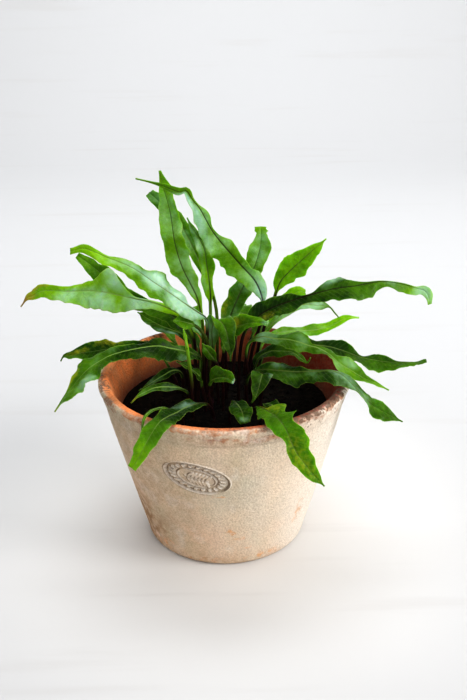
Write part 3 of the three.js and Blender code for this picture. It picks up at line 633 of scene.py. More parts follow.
def innerColour(tree, look, masks, across, height):
    # inside the rim the clay is bare, its colour painted bright as where light falls on the left; it is
    # painted darker to the right as shade, and darker above the soil, partly damp clay and partly painted
    # shade
    return paintOver(
        tree, look["inner"], (times(tree, masks["deep"], 0.6), look["clay"]),
        (stepMask(tree, across, -0.035, 0.045), look["innerShade"]),
        (stepMask(tree, height, 0.104, 0.087), look["dampAndShade"]),
    )


def makePotMaterial(look):
    material, tree, shader = startMaterial("weathered_terracotta")
    across, _, height = addNode(tree, "ShaderNodeSeparateXYZ", {0: objectPlace(tree)}).outputs
    masks = {name: cloudMask(tree, *values) for name, values in look["masks"].items()}
    marks = {name: readAttribute(tree, name) for name in potMarks}
    specks = grainMarks(tree, *look["specks"])
    pits = grainMarks(tree, *look["pits"])["Specks"]
    worn = plus(tree, marks["warm"], times(tree, marks["rim"], 0.66))
    worn = stepMask(tree, uneven(tree, worn, masks["fray"], 0.9), 0.35, 1.05)
    grimy = times(tree, times(tree, marks["dirt"], marks["rim"]), plus(tree, masks["grit"], 0.45))
    grimy = stepMask(tree, uneven(tree, grimy, masks["fray"], 0.7), 0.36, 0.8)
    pitted = times(tree, times(tree, pits, stepMask(tree, height, 0.098, 0.104)), marks["dirt"])
    wall = paintOver(
        tree, bloomColour(tree, look, masks, marks, height),
        (times(tree, worn, 0.9), clayColour(tree, look, masks, height)),
        (marks["inside"], innerColour(tree, look, masks, across, height)),
        (times(tree, grimy, 0.85), look["grime"]), (times(tree, pitted, 0.9), look["pit"]),
    )
    # sand, specks, and painted shade in creases, stamp grooves and shaded slopes over all of it
    sand = mixColour(tree, masks["sand"], look["sandDark"], look["sandLight"])
    wall = mixColour(tree, 1.0, wall, sand, "MULTIPLY")
    gritty = times(tree, masks["grit"], times(tree, stepMask(tree, height, 0.05, 0.1), 0.16))
    wall = paintOver(
        tree, wall, (gritty, look["speck"]), (times(tree, specks["Specks"], 0.5), look["speck"]),
        (times(tree, marks["paintedShade"], 0.72), look["shadeInHollows"]),
    )
    fillInputs(tree, shader, {
        "Base Color": wall, "Roughness": look["roughness"], "Specular IOR Level": look["shine"],
        "Normal": bumpNormal(tree, look["bump"], look["bumpHeight"], specks["Height"]),
    })
    return material


makePot(potSpec)
print("pot is thrown")


# The soil

soilSpec = dict(
    edgeZ=88.5, mound=3, crumb=1.6, rings=43, sides=132, clear=0.45, sideRows=(70, 50, 30, 14, 9.3),
    # fine unevenness: height, layer of the noise, scale
    fine=((0.55, 2, 0.35), (0.4, 5, 0.9)),
    crumbClear=3, crumbRough=0.22, crumbScale=1.7, fibres=70, fibreSize=(2.0, 4.0), fibreShape=(1, 0.13, 0.13),
    lumps=900, lumpSize=(0.5, 1.9), lumpWide=(0.6, 1), lumpTall=(0.5, 0.85),
    lumpTilt=(-0.4, 0.4), lumpLift=0.15,
)


def soilTop(x, y):
    # the same surface as the CAD soil's
    r = math.hypot(x, y) / innerRadiusAt(soilSpec["edgeZ"])
    crumbs = (
        math.sin(0.31 * x + 1.3) * math.cos(0.27 * y - 0.4)
        + 0.6 * math.sin(0.53 * x - 0.61 * y + 2.1)
        + 0.4 * math.cos(0.83 * x + 0.47 * y)
    )
    lift = 0.5 * soilSpec["crumb"] * crumbs * min(1, 4 * (1 - r))
    return soilSpec["edgeZ"] + soilSpec["mound"] * (1 - r * r) + lift


def roughTop(x, y):
    fine = sum(height * lump(x, y, layer, scale) for height, layer, scale in soilSpec["fine"])
    return soilTop(x, y) + fine


def makeSoilBed(spec, material):
    shape = bmesh.new()
    radius = innerRadiusAt(spec["edgeZ"]) - spec["clear"]
    bmesh.ops.create_circle(shape, cap_ends=True, cap_tris=False, segments=spec["sides"], radius=radius)
    top = shape.faces[:]
    for _ in range(spec["rings"]):  # a cap as wide as four rings is left in the middle
        gap = radius / (spec["rings"] + 2)
        bmesh.ops.inset_region(shape, faces=top, thickness=gap, use_even_offset=True)
    for vert in shape.verts:
        vert.co.z = roughTop(vert.co.x, vert.co.y)
    rim = [edge for edge in shape.edges if edge.is_boundary]
    for z in spec["sideRows"]:
        grown = bmesh.ops.extrude_edge_only(shape, edges=rim)["geom"]
        rim = [item for item in grown if isinstance(item, bmesh.types.BMEdge)]
        for vert in (item for item in grown if isinstance(item, bmesh.types.BMVert)):
            away = (innerRadiusAt(z) - 2 * spec["clear"]) / math.hypot(vert.co.x, vert.co.y)
            vert.co = Vector((vert.co.x * away, vert.co.y * away, z))
    bmesh.ops.holes_fill(shape, edges=rim, sides=0)
    bmesh.ops.triangulate(shape, faces=[face for face in shape.faces if len(face.verts) > 4])
    piece = finishMesh("soil_bed", shape, material)
    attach(piece, "root")
    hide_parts("soil")


def makeCrumbs(spec, material):
    # loose lumps of peat and a few bark fibres, lying on the bed
    shape = bmesh.new()
    reach = innerRadiusAt(spec["edgeZ"]) - spec["crumbClear"]
    small, large = spec["lumpSize"]
    for i in range(spec["lumps"] + spec["fibres"]):
        radius = reach * math.sqrt(random.random())
        angle = random.uniform(0, 2 * math.pi)
        x, y = radius * math.cos(angle), radius * math.sin(angle)
        size = blend(small, large, random.random() ** 3)
        stretch = (1, random.uniform(*spec["lumpWide"]), random.uniform(*spec["lumpTall"]))
        if i >= spec["lumps"]:
            size, stretch = random.uniform(*spec["fibreSize"]), spec["fibreShape"]
        turn = Matrix.Rotation(random.uniform(0, 2 * math.pi), 4, "Z")
        turn = turn @ Matrix.Rotation(random.uniform(*spec["lumpTilt"]), 4, "Y")
        spot = Matrix.Translation((x, y, roughTop(x, y) + spec["lumpLift"] * size))
        scale = Matrix.Diagonal((*[size * s for s in stretch], 1))
        bmesh.ops.create_icosphere(shape, subdivisions=1, radius=1, matrix=spot @ turn @ scale)
    rough = Vector([spec["crumbRough"]] * 3)
    for vert in shape.verts:
        vert.co += rough * lump(*vert.co, spec["crumbScale"])
    piece = finishMesh("soil_crumbs", shape, material, smooth=False)
    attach(piece, "root")


soilLook = dict(
    dark=(0.003, 0.0022, 0.0018), light=(0.012, 0.008, 0.005), bits=(0.045, 0.028, 0.016),
    roughness=0.95, shine=0.2, bump=0.8, bumpHeight=0.0008,
)


def makeSoilMaterial(look):
    material, tree, shader = startMaterial("dark_peat")
    bits = grainMarks(tree, 1500.0, 420.0, 0.22)
    peat = paintOver(
        tree, look["dark"], (cloudMask(tree, 260.0, 6.0, 0.4, 0.7), look["light"]),
        (times(tree, bits["Specks"], 0.35), look["bits"]),
    )
    fillInputs(tree, shader, {
        "Base Color": peat, "Roughness": look["roughness"], "Specular IOR Level": look["shine"],
        "Normal": bumpNormal(tree, look["bump"], look["bumpHeight"], bits["Height"]),
    })
    return material


soilMaterial = makeSoilMaterial(soilLook)
makeSoilBed(soilSpec, soilMaterial)
makeCrumbs(soilSpec, soilMaterial)
print("soil is in")


# The fronds

# Each rib runs from its root on the soil, (x, y), through the points (x, y, z).
#   foot         the point of the rib, counted from 1, at which the bare stem ends and the blade starts
#   side         points to the blade's right edge; side x direction of growth is its glossy face
#   twist        for a blade that turns: its turn at foot, middle and tip, in degrees
#   fold         how far each half rises from flat, in degrees
#   wave         (height, number of waves, where they start) of the edges' rise and fall
#   left, right  how far each edge lies from the rib, at even steps from foot to tip
#   end, young   half width of a blunt tip, and whether the blade is fresh and soft
#   tone, tip    0 is dark green and 1 yellow green, on the blade and at its tip; partly the frond's own green and partly painted shade and light, lower for fronds in shade
#   vein, stem   0 is a dark purple midrib or stem and 1 a pale green one
#   ragged       how torn the tip is
#   spots, waxAndSheen   browned places, and waxy places with more coat and a pale painted sheen: (share of length, place across from -1 left to 1 right,
#                length, width, strength)
fronds = {
    # The tall ones, left of the middle
    "tall_left": dict(
        root=(-14, 7), foot=2, side=(0.95, -0.1, -0.1), fold=8, wave=(2, 4.2, 0.1), end=1.5,
        rib=[(-13, 7, 128), (-13, 7, 142), (-14, 7, 151), (-16, 7, 160), (-20, 8, 169), (-24, 8, 178),
             (-27, 9, 187), (-29, 10, 196), (-31, 12, 213), (-33, 11, 223), (-35, 10, 231), (-36, 8, 240)],
        left=[1.5, 3, 5, 8, 7.5, 7.5, 7.5, 5.5, 2.5], right=[2, 3.5, 6.5, 6, 7.5, 6, 5.5, 5, 5],
        tone=0.74, tip=0.7, vein=0.15, stem=0.45,
        waxAndSheen=[(0.75, 0.6, 0.2, 0.5, 0.4), (0.25, -0.5, 0.15, 0.5, 0.4), (0.5, 0, 0.45, 2, 0.42)],
    ),
    "tall_behind": dict(
        root=(-5, 20), foot=3, side=(0.9, 0.1, 0.3), fold=10, wave=(1.6, 3.5, 0.4), end=3,
        rib=[(-4, 20, 126), (-4, 21, 141), (-5, 22, 150), (-8, 24, 161), (-12, 25, 171), (-17, 26, 183),
             (-21, 27, 192), (-27, 28, 203), (-33, 28, 210), (-39, 26, 217), (-44, 23, 223)],
        left=[2, 2.5, 3, 4, 5, 5.5, 4.5, 4.2, 4.2], right=[2, 2.5, 3, 3.5, 4, 4, 4.5, 5.2, 4.6],
        tone=0.62, tip=0.4, vein=0.5, stem=0.45, waxAndSheen=[(0.6, 0, 0.45, 2, 0.42)],
    ),
    "upright": dict(
        root=(-8, 13), foot=3, side=(0.95, 0.1, 0.1), fold=12, wave=(1.8, 3.4, 0.7),
        rib=[(-8, 12, 126), (-8, 12, 143), (-8, 12, 153), (-8, 12, 163), (-9, 13, 173), (-10, 14, 181),
             (-11, 14, 189), (-14, 14, 196), (-18, 13, 203), (-21, 12, 210)],
        left=[3, 4.5, 5, 4.5, 4.5, 4.5, 4, 3, 2], right=[2.5, 2.5, 3, 5, 4.5, 3, 2.5, 2.5, 2],
        tone=0.78, tip=0.35, vein=0.3, stem=0.6, waxAndSheen=[(0.6, -0.6, 0.4, 0.6, 0.5), (0.7, 0.3, 0.3, 1, 0.3)],
    ),
    "arching": dict(
        root=(14, 6), foot=3, side=(0.75, 0.05, 0.65), fold=9, wave=(1.8, 3.6, 0.35),
        rib=[(18, 6, 123), (24, 6, 145), (25, 6, 154), (24, 5, 161), (20, 2, 172), (9, -3, 187),
             (-5, -9, 207), (-13, -12, 223), (-17, -11, 228), (-20, -9, 232), (-24, -7, 231), (-36, -1, 234),
             (-50, 2, 237)],
        left=[3, 6, 7.5, 9, 9.5, 9.5, 8.5, 8, 6.5, 3.8, 2.5, 2.5, 2, 1.2],
        right=[4, 5.5, 5, 4.2, 4.8, 5.6, 2.8, 2, 3.4, 1.5, 2.5, 2.5, 2, 1.2],
        tone=0.64, tip=0.65, vein=0.0,
        waxAndSheen=[(0.05, 0, 0.14, 2, 0.85), (0.64, -0.8, 0.2, 0.7, 1.1), (0.35, -0.8, 0.1, 0.4, 0.4),
             (0.45, 0, 0.4, 2, 0.38)],
    ),
    "back_upright": dict(
        root=(2, 21), foot=2, side=(0.9, -0.1, -0.3), fold=12, wave=(1.8, 3.4, 0.2), end=4.6,
        rib=[(1, 23, 118), (1, 24, 131), (4, 26, 138), (8, 29, 147), (13, 32, 157), (19, 35, 166),
             (23, 38, 176), (25, 40, 185), (25, 41, 195)],
        left=[6, 7.5, 7, 6.5, 5.5, 6.2, 7.4, 7.4, 4.2], right=[5, 5.5, 5.5, 7, 5.5, 5.5, 6.3, 7.4, 5.4],
        tone=0.42, tip=0.86, vein=0.2, ragged=0.5, spots=[(0.16, -0.8, 0.16, 0.5, 0.32)],
        waxAndSheen=[(0.8, 0, 0.22, 2, 0.55), (0.4, 0, 0.4, 2, 0.42)],
    ),
    "backlit": dict(
        root=(17, 15), foot=4, side=(0.75, 0.1, -0.6), fold=5, wave=(0.6, 2.5, 0.2), young=True,
        rib=[(22, 15, 120), (26, 14, 136), (30, 14, 148), (33, 13, 159), (36, 12, 168), (42, 10, 176),
             (55, 6, 190), (63, 4, 198)],
        left=[3.5, 6, 8.5, 9, 7.5, 5, 2.5], right=[3.5, 6.5, 8, 8, 7, 5, 3],
        tone=0.7, tip=0.8, vein=0.2,
    ),
    # The long ones to the right
    "long_right": dict(
        root=(9, 0), foot=2, side=(0, -0.75, -0.65), twist=(0, 0, 55), fold=10, wave=(1.8, 3.3, 0.55), end=2,
        rib=[(10, 0, 122), (13, -1, 139), (21, -3, 150), (29, -4, 156), (42, -6, 162), (55, -6, 166),
             (68, -5, 169), (82, -3, 170), (97, 1, 171), (112, 4, 168), (120, 5, 165), (125, 6, 163),
             (128, 6, 159), (129, 5, 154)],
        left=[6, 7.5, 7, 6.5, 2, 2.4, 6.2, 6.8, 3, 1.5, 1.2, 1.2, 1.2, 3.4],
        right=[3.5, 7, 9, 9.5, 4.5, 6, 9, 10.5, 10.5, 6.8, 3.2, 5.4, 5, 3],
        tone=0.04, tip=0.72, vein=0.0, spots=[(0.14, 0.6, 0.09, 0.6, 0.32)],
        waxAndSheen=[(0.77, 0, 0.05, 2, 0.5), (0.93, 0, 0.06, 2, 0.6), (0.5, -0.9, 0.06, 0.4, 0.5)],
    ),
    "torn_short": dict(
        root=(1, 9), foot=2, side=(0, -0.8, -0.6), fold=10, wave=(1.5, 2.4, 0.3), end=2.4, young=True,
        rib=[(-1, 6, 115), (0, 4, 124), (-1, 1, 134), (3, -3, 142), (10, -8, 147), (19, -13, 151),
             (27, -17, 152)],
        left=[4, 7, 7, 6, 4], right=[5, 7, 7, 5.5, 3.5],
        tone=0.34, tip=0.55, vein=0.4, ragged=0.8,
        spots=[(0.55, -0.3, 0.16, 0.8, 0.38), (0.3, 0.3, 0.2, 0.8, 0.3)], waxAndSheen=[(0.97, 0, 0.07, 2, 0.6)],
    ),
    "back_tip": dict(
        root=(22, 34), foot=1, side=(0.2, -0.8, -0.6), fold=6, wave=(0.8, 2, 0.1), end=3, young=True,
        rib=[(24, 38, 118), (28, 42, 129), (36, 46, 137), (44, 50, 142), (51, 52, 146), (55.5, 53, 144.5)],
        left=[3, 4, 5, 5], right=[3, 4, 5, 5],
        tone=0.74, tip=0.8, vein=0.7,
    ),
    "back_right": dict(
        root=(24, 24), foot=1, side=(0, -0.8, -0.6), fold=12, wave=(1.4, 3, 0.4),
        rib=[(24, 26, 112), (25, 28, 123), (35, 32, 134), (44, 36, 140), (54, 40, 141), (63, 43, 139),
             (71, 46, 137), (75, 48, 132), (78, 49, 128)],
        left=[1.5, 3, 3.5, 3.5, 4, 4, 3.2, 0.9], right=[1.5, 3, 3.5, 3.5, 4, 4, 2.8, 0.9],
        tone=0.5, tip=0.45, vein=0.6, waxAndSheen=[(0.6, 0, 0.4, 2, 0.45)],
    ),
    "low_back_right": dict(
        root=(17, 37), foot=1, side=(0.2, -0.8, -0.5), fold=8, wave=(1.2, 3.6, 0.8), end=1.4, young=True,
        rib=[(23, 40, 107), (30, 46, 115), (41, 51, 117), (52, 57, 115), (64, 63, 113), (73, 68, 113),
             (81, 72, 115), (88, 75, 117), (96, 77, 116)],
        left=[2, 3, 3.5, 3.5, 4, 4.5, 4.5, 3.5, 2.5], right=[2, 3, 3.5, 4, 4.5, 4.5, 4, 3, 2.5],
        tone=0.6, tip=0.85, vein=0.8, stem=0.5, waxAndSheen=[(0.5, 0, 0.4, 2, 0.35)],
    ),
    "right_arm": dict(
        root=(18, -6), foot=1, side=(0, -0.85, -0.5), fold=14, wave=(2.2, 3.5, 0.2),
        rib=[(14, -7, 126), (16, -7, 135), (24, -8, 139), (32, -9, 138), (39, -10, 138), (46, -12, 137),
             (52, -13, 135), (58, -15, 134), (65, -16, 130), (71, -18, 125), (78, -20, 121), (85, -22, 117),
             (93, -24, 114), (101, -26, 110)],
        left=[1.5, 2.7, 3.2, 4, 8.5, 2.5, 2.5, 5.5, 6.5, 5, 3, 2],
        right=[1.5, 3, 5.5, 8.5, 8.5, 5, 5, 6, 6.5, 5.5, 4.5, 3],
        tone=0.34, tip=0.6, vein=0.75,
        waxAndSheen=[(0.2, 0, 0.12, 2, 0.45), (0.8, -0.5, 0.2, 0.6, 0.3), (0.5, 0.2, 0.2, 1.2, 0.3)],
    ),
    "right_arm_behind": dict(
        root=(21, 7), foot=1, side=(0, -0.85, -0.5), fold=12, wave=(2, 4.2, 0.6), end=2.2,
        rib=[(23, 8, 112), (26, 8, 121), (31, 9, 125), (40, 10, 126), (49, 10, 126), (59, 10, 125),
             (68, 9, 124), (78, 8, 121), (87, 6, 118), (97, 5, 116), (106, 4, 115), (116, 3, 115),
             (123, 2, 115), (129, 1, 117)],
        left=[1.5, 2.5, 3.5, 5, 3.5, 5.5, 6, 4.5, 2.2, 4.5, 3, 1.5, 1.8],
        right=[1.5, 3, 4.5, 5, 5.5, 6.5, 6.5, 7, 8, 9.5, 8.5, 6, 3],
        tone=0.0, tip=0.3, vein=0.4, ragged=0.6, waxAndSheen=[(0.97, 0, 0.05, 2, 0.35)],
    ),
    "right_low": dict(
        root=(14, -12), foot=1, side=(0, -0.85, -0.5), fold=13, wave=(2.2, 4.3, 0.15),
        rib=[(14, -13, 110), (17, -15, 118), (25, -17, 121), (34, -19, 121), (44, -21, 121), (51, -23, 122),
             (58, -25, 123), (65, -27, 124), (71, -28, 122), (76, -30, 118), (80, -32, 114), (85, -34, 109),
             (90, -35, 104), (96, -37, 101), (108, -39, 95)],
        left=[1.5, 3, 4.5, 5.5, 4, 2, 2, 2, 2.5, 3, 5, 6, 4.5, 3],
        right=[1.2, 2, 6, 11, 12, 9.5, 10, 12, 9.5, 5, 4.5, 6.5, 8, 5],
        tone=0.06, tip=0.3, vein=0.35, waxAndSheen=[(0.28, -0.7, 0.1, 0.4, 0.4), (0.62, 0, 0.2, 1.4, 0.3)],
    ),
    "under_right_arm": dict(
        root=(23, 0), foot=1, side=(0, -0.9, -0.4), fold=10, wave=(1.2, 2.6, 0.5),
        rib=[(19, -1, 110), (22, 0, 121), (29, -1, 126), (36, -3, 127), (43, -5, 127), (49, -7, 123),
             (52, -8, 121), (54, -9, 125)],
        left=[4, 5, 5, 3], right=[4, 5, 5, 3],
        tone=0.04, tip=0.4, vein=0.5,
    ),
    # The long ones to the left
    "sheen_left": dict(
        root=(-12, -2), foot=2, side=(0.1, 0.75, 0.65), fold=9, wave=(2.2, 3.3, 0.45), end=2.6,
        rib=[(-11, -2, 125), (-10, -2, 142), (-11, -3, 150), (-16, -5, 155), (-21, -8, 160), (-32, -11, 170),
             (-42, -12, 178), (-54, -12, 187), (-68, -11, 193), (-75, -10, 196), (-82, -9, 198),
             (-90, -8, 196)],
        left=[2, 6.5, 10, 9, 11.5, 11.5, 9.5, 7, 6.5, 7, 4.2, 2.8],
        right=[1.3, 1.8, 2, 4.8, 6.5, 10, 3.4, 3.4, 4.6, 2, 2.2, 3],
        tone=0.5, tip=0.86, vein=0.45,
        waxAndSheen=[(0.22, 0.1, 0.24, 1.4, 1.0), (0.5, 0.2, 0.2, 0.8, 0.85), (0.68, -0.3, 0.1, 0.6, 0.4)],
    ),
    "far_left": dict(
        root=(-19, 2), foot=2, side=(0, 0.6, 0.8), fold=7, wave=(1.6, 2.6, 0.1),
        rib=[(-18, 3, 118), (-19, 4, 135), (-23, 4, 144), (-28, 5, 150), (-42, 8, 156), (-60, 12, 159),
             (-79, 18, 161), (-99, 24, 159), (-117, 30, 157), (-123, 32, 153), (-127, 33, 151),
             (-132, 34, 145)],
        left=[1.5, 2.5, 4, 5.5, 8.5, 11.5, 12.5, 11.5, 9.7, 7.6, 6.1, 4, 2.2],
        right=[1.5, 2, 2.5, 2, 2, 6.5, 15, 8, 5.2, 3.4, 3.5, 4.3, 3.2],
        tone=0.92, tip=0.9, vein=0.8, spots=[(1.0, 0, 0.1, 3, 0.95), (0.9, 0.9, 0.14, 0.5, 0.5)],
        waxAndSheen=[(0.34, -0.2, 0.09, 1.4, 0.95), (0.46, 0.7, 0.09, 0.8, 0.85), (0.58, -0.3, 0.2, 1.2, 0.7)],
    ),
    "dark_left": dict(
        root=(-18, 14), foot=1, side=(0.3, 0.6, 0.75), fold=10, wave=(1.8, 3.8, 0.3), end=2.4,
        rib=[(-19, 15, 116), (-21, 15, 129), (-28, 16, 139), (-35, 18, 145), (-45, 21, 148), (-55, 25, 152),
             (-65, 29, 157), (-72, 32, 162), (-79, 34, 168), (-86, 35, 174), (-93, 36, 179)],
        left=[2, 4.5, 6, 6, 6, 6.5, 7, 7, 6.2], right=[2, 3.5, 4, 4, 3.5, 4, 5.5, 6, 4.2],
        tone=0.2, tip=0.42, vein=0.2,
    ),
    "back_left_low": dict(
        root=(-17, 23), foot=1, side=(0.1, 0.8, 0.55), fold=10, wave=(1.6, 3, 0.6),
        rib=[(-16, 24, 113), (-18, 25, 121), (-24, 28, 125), (-32, 32, 127), (-41, 36, 129), (-49, 40, 132),
             (-57, 44, 136)],
        left=[3, 4, 4, 3.5, 3.5, 4, 5.5, 5, 3], right=[3, 4, 5, 6, 7.5, 8, 8, 7, 4.5],
        tone=0.06, tip=0.3, vein=0.5, waxAndSheen=[(0.6, -0.8, 0.4, 0.4, 0.5)],
    ),
    "left_arm": dict(
        root=(-17, -4), foot=1, side=(0, 0.88, 0.45), fold=12, wave=(2.2, 3.6, 0.35), end=1.2,
        rib=[(-15, -4, 114), (-15, -4, 124), (-20, -6, 128), (-26, -9, 131), (-33, -12, 134), (-40, -15, 137),
             (-54, -19, 137), (-68, -23, 135), (-75, -25, 132), (-81, -28, 129), (-86, -31, 125),
             (-95, -36, 115), (-102, -40, 106)],
        left=[2, 6.5, 8.5, 10.5, 11, 12.5, 10.5, 6, 5, 10, 15.5, 14, 9, 6.5],
        right=[1.5, 4, 3.5, 2.5, 6.5, 4.5, 3.6, 3.2, 5.2, 7, 7, 4, 2.5, 2],
        tone=0.1, tip=0.5, vein=0.8, spots=[(0.84, 0.8, 0.12, 0.5, 0.36), (1.0, 0, 0.06, 2, 0.4)],
        waxAndSheen=[(0.25, -0.8, 0.12, 0.5, 0.3), (0.48, 0.3, 0.14, 0.9, 0.42), (0.76, -0.8, 0.08, 0.5, 0.4)],
    ),
    "left_arm_behind": dict(
        root=(-23, 9), foot=2, side=(0, 0.88, 0.45), fold=14, wave=(2, 3.4, 0.8),
        rib=[(-22, 11, 110), (-23, 12, 119), (-28, 12, 123), (-38, 12, 125), (-47, 11, 127), (-57, 10, 126),
             (-66, 8, 126), (-75, 6, 126), (-84, 5, 125), (-91, 3, 125), (-97, 2, 124), (-101, 1, 124),
             (-103, 0, 121)],
        left=[2.5, 5, 6.5, 7, 7, 7, 6.5, 6.5, 4.5], right=[2.5, 3.5, 3, 3, 4.5, 7, 6, 6, 3.5],
        tone=0.1, tip=0.2, vein=0.3, spots=[(0.62, 0.8, 0.14, 0.6, 0.36), (0.85, 0.2, 0.12, 0.6, 0.32)],
    ),
    # Small ones in the middle
    "curled_pair": dict(
        root=(-8, -7), foot=4, side=(0.1, 0.6, 0.8), fold=18, wave=(0.5, 1.5, 0), end=1.4, young=True,
        rib=[(-9, -8, 120), (-9, -9, 132), (-12, -9, 142), (-17, -10, 148), (-22, -12, 151), (-26, -14, 153),
             (-30, -16, 154)],
        left=[3.5, 5, 4], right=[3, 4.5, 3.5],
        tone=0.5, tip=0.6, vein=0.8, stem=0.2, waxAndSheen=[(0.6, 1, 0.3, 0.4, 0.6)],
    ),
    "unrolling": dict(
        root=(-20, -20), foot=3, side=(1, 0, 0), fold=25, wave=(0.2, 1.5, 0), young=True,
        rib=[(-20, -21, 116), (-21, -21.5, 127), (-22, -22, 138), (-23, -22, 146), (-24, -22, 151)],
        left=[1.2, 1.8], right=[1.2, 1.8],
        tone=0.8, tip=0.7, vein=1.0, stem=1.0,
    ),
    "folded_over": dict(
        root=(-4, 2), foot=1, side=(-0.9, 0.1, 0.1), fold=14, wave=(1.4, 2.2, 0.3),
        rib=[(-6, 1, 120), (-7, 0, 133), (-7, -1, 142), (-5, -4, 149), (-2, -8, 150), (1, -11, 147),
             (3, -14, 140), (4, -16, 133), (4, -17, 127)],
        left=[2, 4, 5, 7, 6, 3], right=[2, 4, 5, 5, 5, 3],
        tone=0.62, tip=0.05, vein=0.3, waxAndSheen=[(0.3, 0, 0.2, 2, 0.6), (0.6, -0.9, 0.3, 0.3, 0.4)],
    ),
    "small_between": dict(
        root=(-1, -9), foot=3, side=(0.8, 0, 0.6), fold=10, wave=(0.6, 1.8, 0.3),
        rib=[(-1, -11, 108), (-3, -12, 118), (-5, -13, 125), (-9, -14, 132), (-13, -14, 138)],
        left=[2.5, 3.5, 3.5, 2.5], right=[2.5, 3.5, 3.5, 2.5],
        tone=0.14, tip=0.3, vein=0.4,
    ),
    "young_middle": dict(
        root=(-8, -13), foot=2, side=(0, -0.7, -0.7), fold=8, wave=(0.9, 1.8, 0.5), end=2.2, young=True,
        rib=[(-10, -15, 104), (-9, -17, 111), (-6, -21, 117), (1, -26, 120), (6, -31, 120)],
        left=[4.5, 7.5, 6, 4.5], right=[1.5, 3, 3, 2.5],
        tone=0.3, tip=0.42, vein=0.5, stem=0.1, waxAndSheen=[(1.0, 0, 0.06, 2, 0.8)],
    ),
    "hanging_middle": dict(
        root=(22, -16), foot=1, side=(-0.95, 0, 0.1), fold=10, wave=(1.2, 2.4, 0.2), end=1,
        rib=[(23.5, -20.5, 109), (23.5, -27, 120), (23, -32, 125), (21.5, -36, 121.5), (20, -38.5, 117),
             (18.2, -40.5, 113.5), (16, -41.5, 110.5)],
        left=[2, 3.2, 5.5, 6.5, 5, 3, 1.6], right=[2.5, 5, 6, 6, 6, 5, 2.5],
        tone=0.0, tip=0.12, vein=0.4, waxAndSheen=[(0.45, -0.8, 0.2, 0.4, 0.4)],
    ),
    "left_inner": dict(
        root=(-12, -9), foot=1, side=(-0.2, 0.8, 0.4), fold=10, wave=(1.2, 2.2, 0.6),
        rib=[(-14, -9, 106), (-15, -11, 113), (-18, -13, 118), (-23, -15, 123), (-29, -18, 128)],
        left=[3, 4.5, 4, 2.5], right=[3, 4.5, 4, 2.5],
        tone=0.08, tip=0.2, vein=0.5,
    ),
    # Low ones inside the pot and over its front edge
    "inside_left": dict(
        root=(-27, 12), foot=1, side=(0, 0.8, 0.5), fold=8, wave=(0.9, 2.6, 0.1),
        rib=[(-27, 11, 103), (-29, 9.5, 108), (-33, 7, 110), (-38, 3, 109), (-44, -1, 107), (-50, -4, 104),
             (-54, -7, 103)],
        left=[2, 3, 3, 2.5, 2], right=[2, 3, 3.5, 3, 2],
        tone=0.1, tip=0.2, vein=0.9, waxAndSheen=[(0.5, 0, 0.5, 2, 0.3)],
    ),
    "inside_left_low": dict(
        root=(-24, -6), foot=1, side=(0, 0.85, 0.4), fold=8, wave=(0.8, 2.2, 0.4),
        rib=[(-23, -8, 101), (-28, -11, 106), (-35, -15, 109), (-43, -20, 111), (-49, -24, 110),
             (-53, -27, 109), (-57, -30, 106)],
        left=[2, 3, 3, 2.5, 2], right=[2, 3, 3, 3, 2],
        tone=0.1, tip=0.45, vein=0.9, spots=[(0.95, 0, 0.12, 2, 0.35)], waxAndSheen=[(0.5, 0, 0.5, 2, 0.25)],
    ),
    "front_left_small": dict(
        root=(-26, -30), foot=1, side=(-0.7, 0.5, 0), fold=12, wave=(0.5, 2.4, 0.2),
        rib=[(-31, -37, 103), (-36, -45, 110), (-40, -53, 113.5), (-43, -60, 115.5), (-46, -67, 115),
             (-47, -73, 111), (-47, -76, 106)],
        left=[1.5, 2, 2, 1.5], right=[1.5, 2, 2, 1.5],
        tone=0.2, tip=0.35, vein=0.6,
    ),
    "front_left": dict(
        root=(-7, -23), foot=1, side=(-0.75, 0.5, 0.2), fold=8, wave=(1.3, 3.2, 0.7), end=3,
        rib=[(-11, -33, 106), (-17, -41, 110), (-23, -49, 112), (-28, -57, 113), (-33, -65, 114.5),
             (-37, -72, 115), (-41, -79, 112), (-45, -85, 107), (-48.5, -89, 101.5), (-52, -91, 96.5)],
        left=[4, 4.5, 5, 6, 7, 7.8, 7, 5.5, 4.2], right=[2, 5, 6, 6, 5, 5.6, 6, 5.2, 4.6],
        tone=-0.08, tip=0.74, vein=0.5, waxAndSheen=[(0.2, 0.3, 0.15, 0.6, 0.4)],
    ),
    "front_droop": dict(
        root=(3, -26), foot=1, side=(-0.95, 0.1, -0.1), fold=10, wave=(1, 2.2, 0.3), end=3,
        rib=[(5, -36, 109), (8, -43, 110), (10, -50, 110), (11, -56, 109), (12, -60, 107)],
        left=[3.5, 5.5, 6.5, 5.5], right=[4, 6.5, 6.5, 5.5],
        tone=0.04, tip=0.12, vein=0.4, waxAndSheen=[(0.9, 0, 0.1, 2, 0.3)],
    ),
    "front_dark": dict(
        root=(22, -33), foot=1, side=(-0.75, -0.65, 0), fold=10, wave=(1, 2.3, 0.6),
        rib=[(24, -40, 108), (26, -44, 111), (29, -48, 112), (33, -52, 112)],
        left=[2.5, 4, 4.5, 4], right=[2.5, 4, 4.5, 4],
        tone=0.03, tip=0.1, vein=0.5,
    ),
    "front_right": dict(
        root=(11, -30), foot=1, side=(-0.9, -0.2, -0.3), fold=8, wave=(1.5, 3.4, 0.2), young=True,
        rib=[(19, -45.5, 109.5), (22, -53, 113), (26, -62, 115), (30, -71, 116), (34, -80, 114),
             (37, -87, 109), (40, -91, 104), (44, -93, 99), (48, -95, 94), (55, -96, 86)],
        left=[1.5, 1.5, 4, 10, 7, 10, 6.5, 9, 9.5, 9, 7, 5.5, 4, 2.5],
        right=[2.5, 5, 7, 8, 8.5, 8, 7, 5.5, 3.5, 5, 5.5, 5, 4, 2.5],
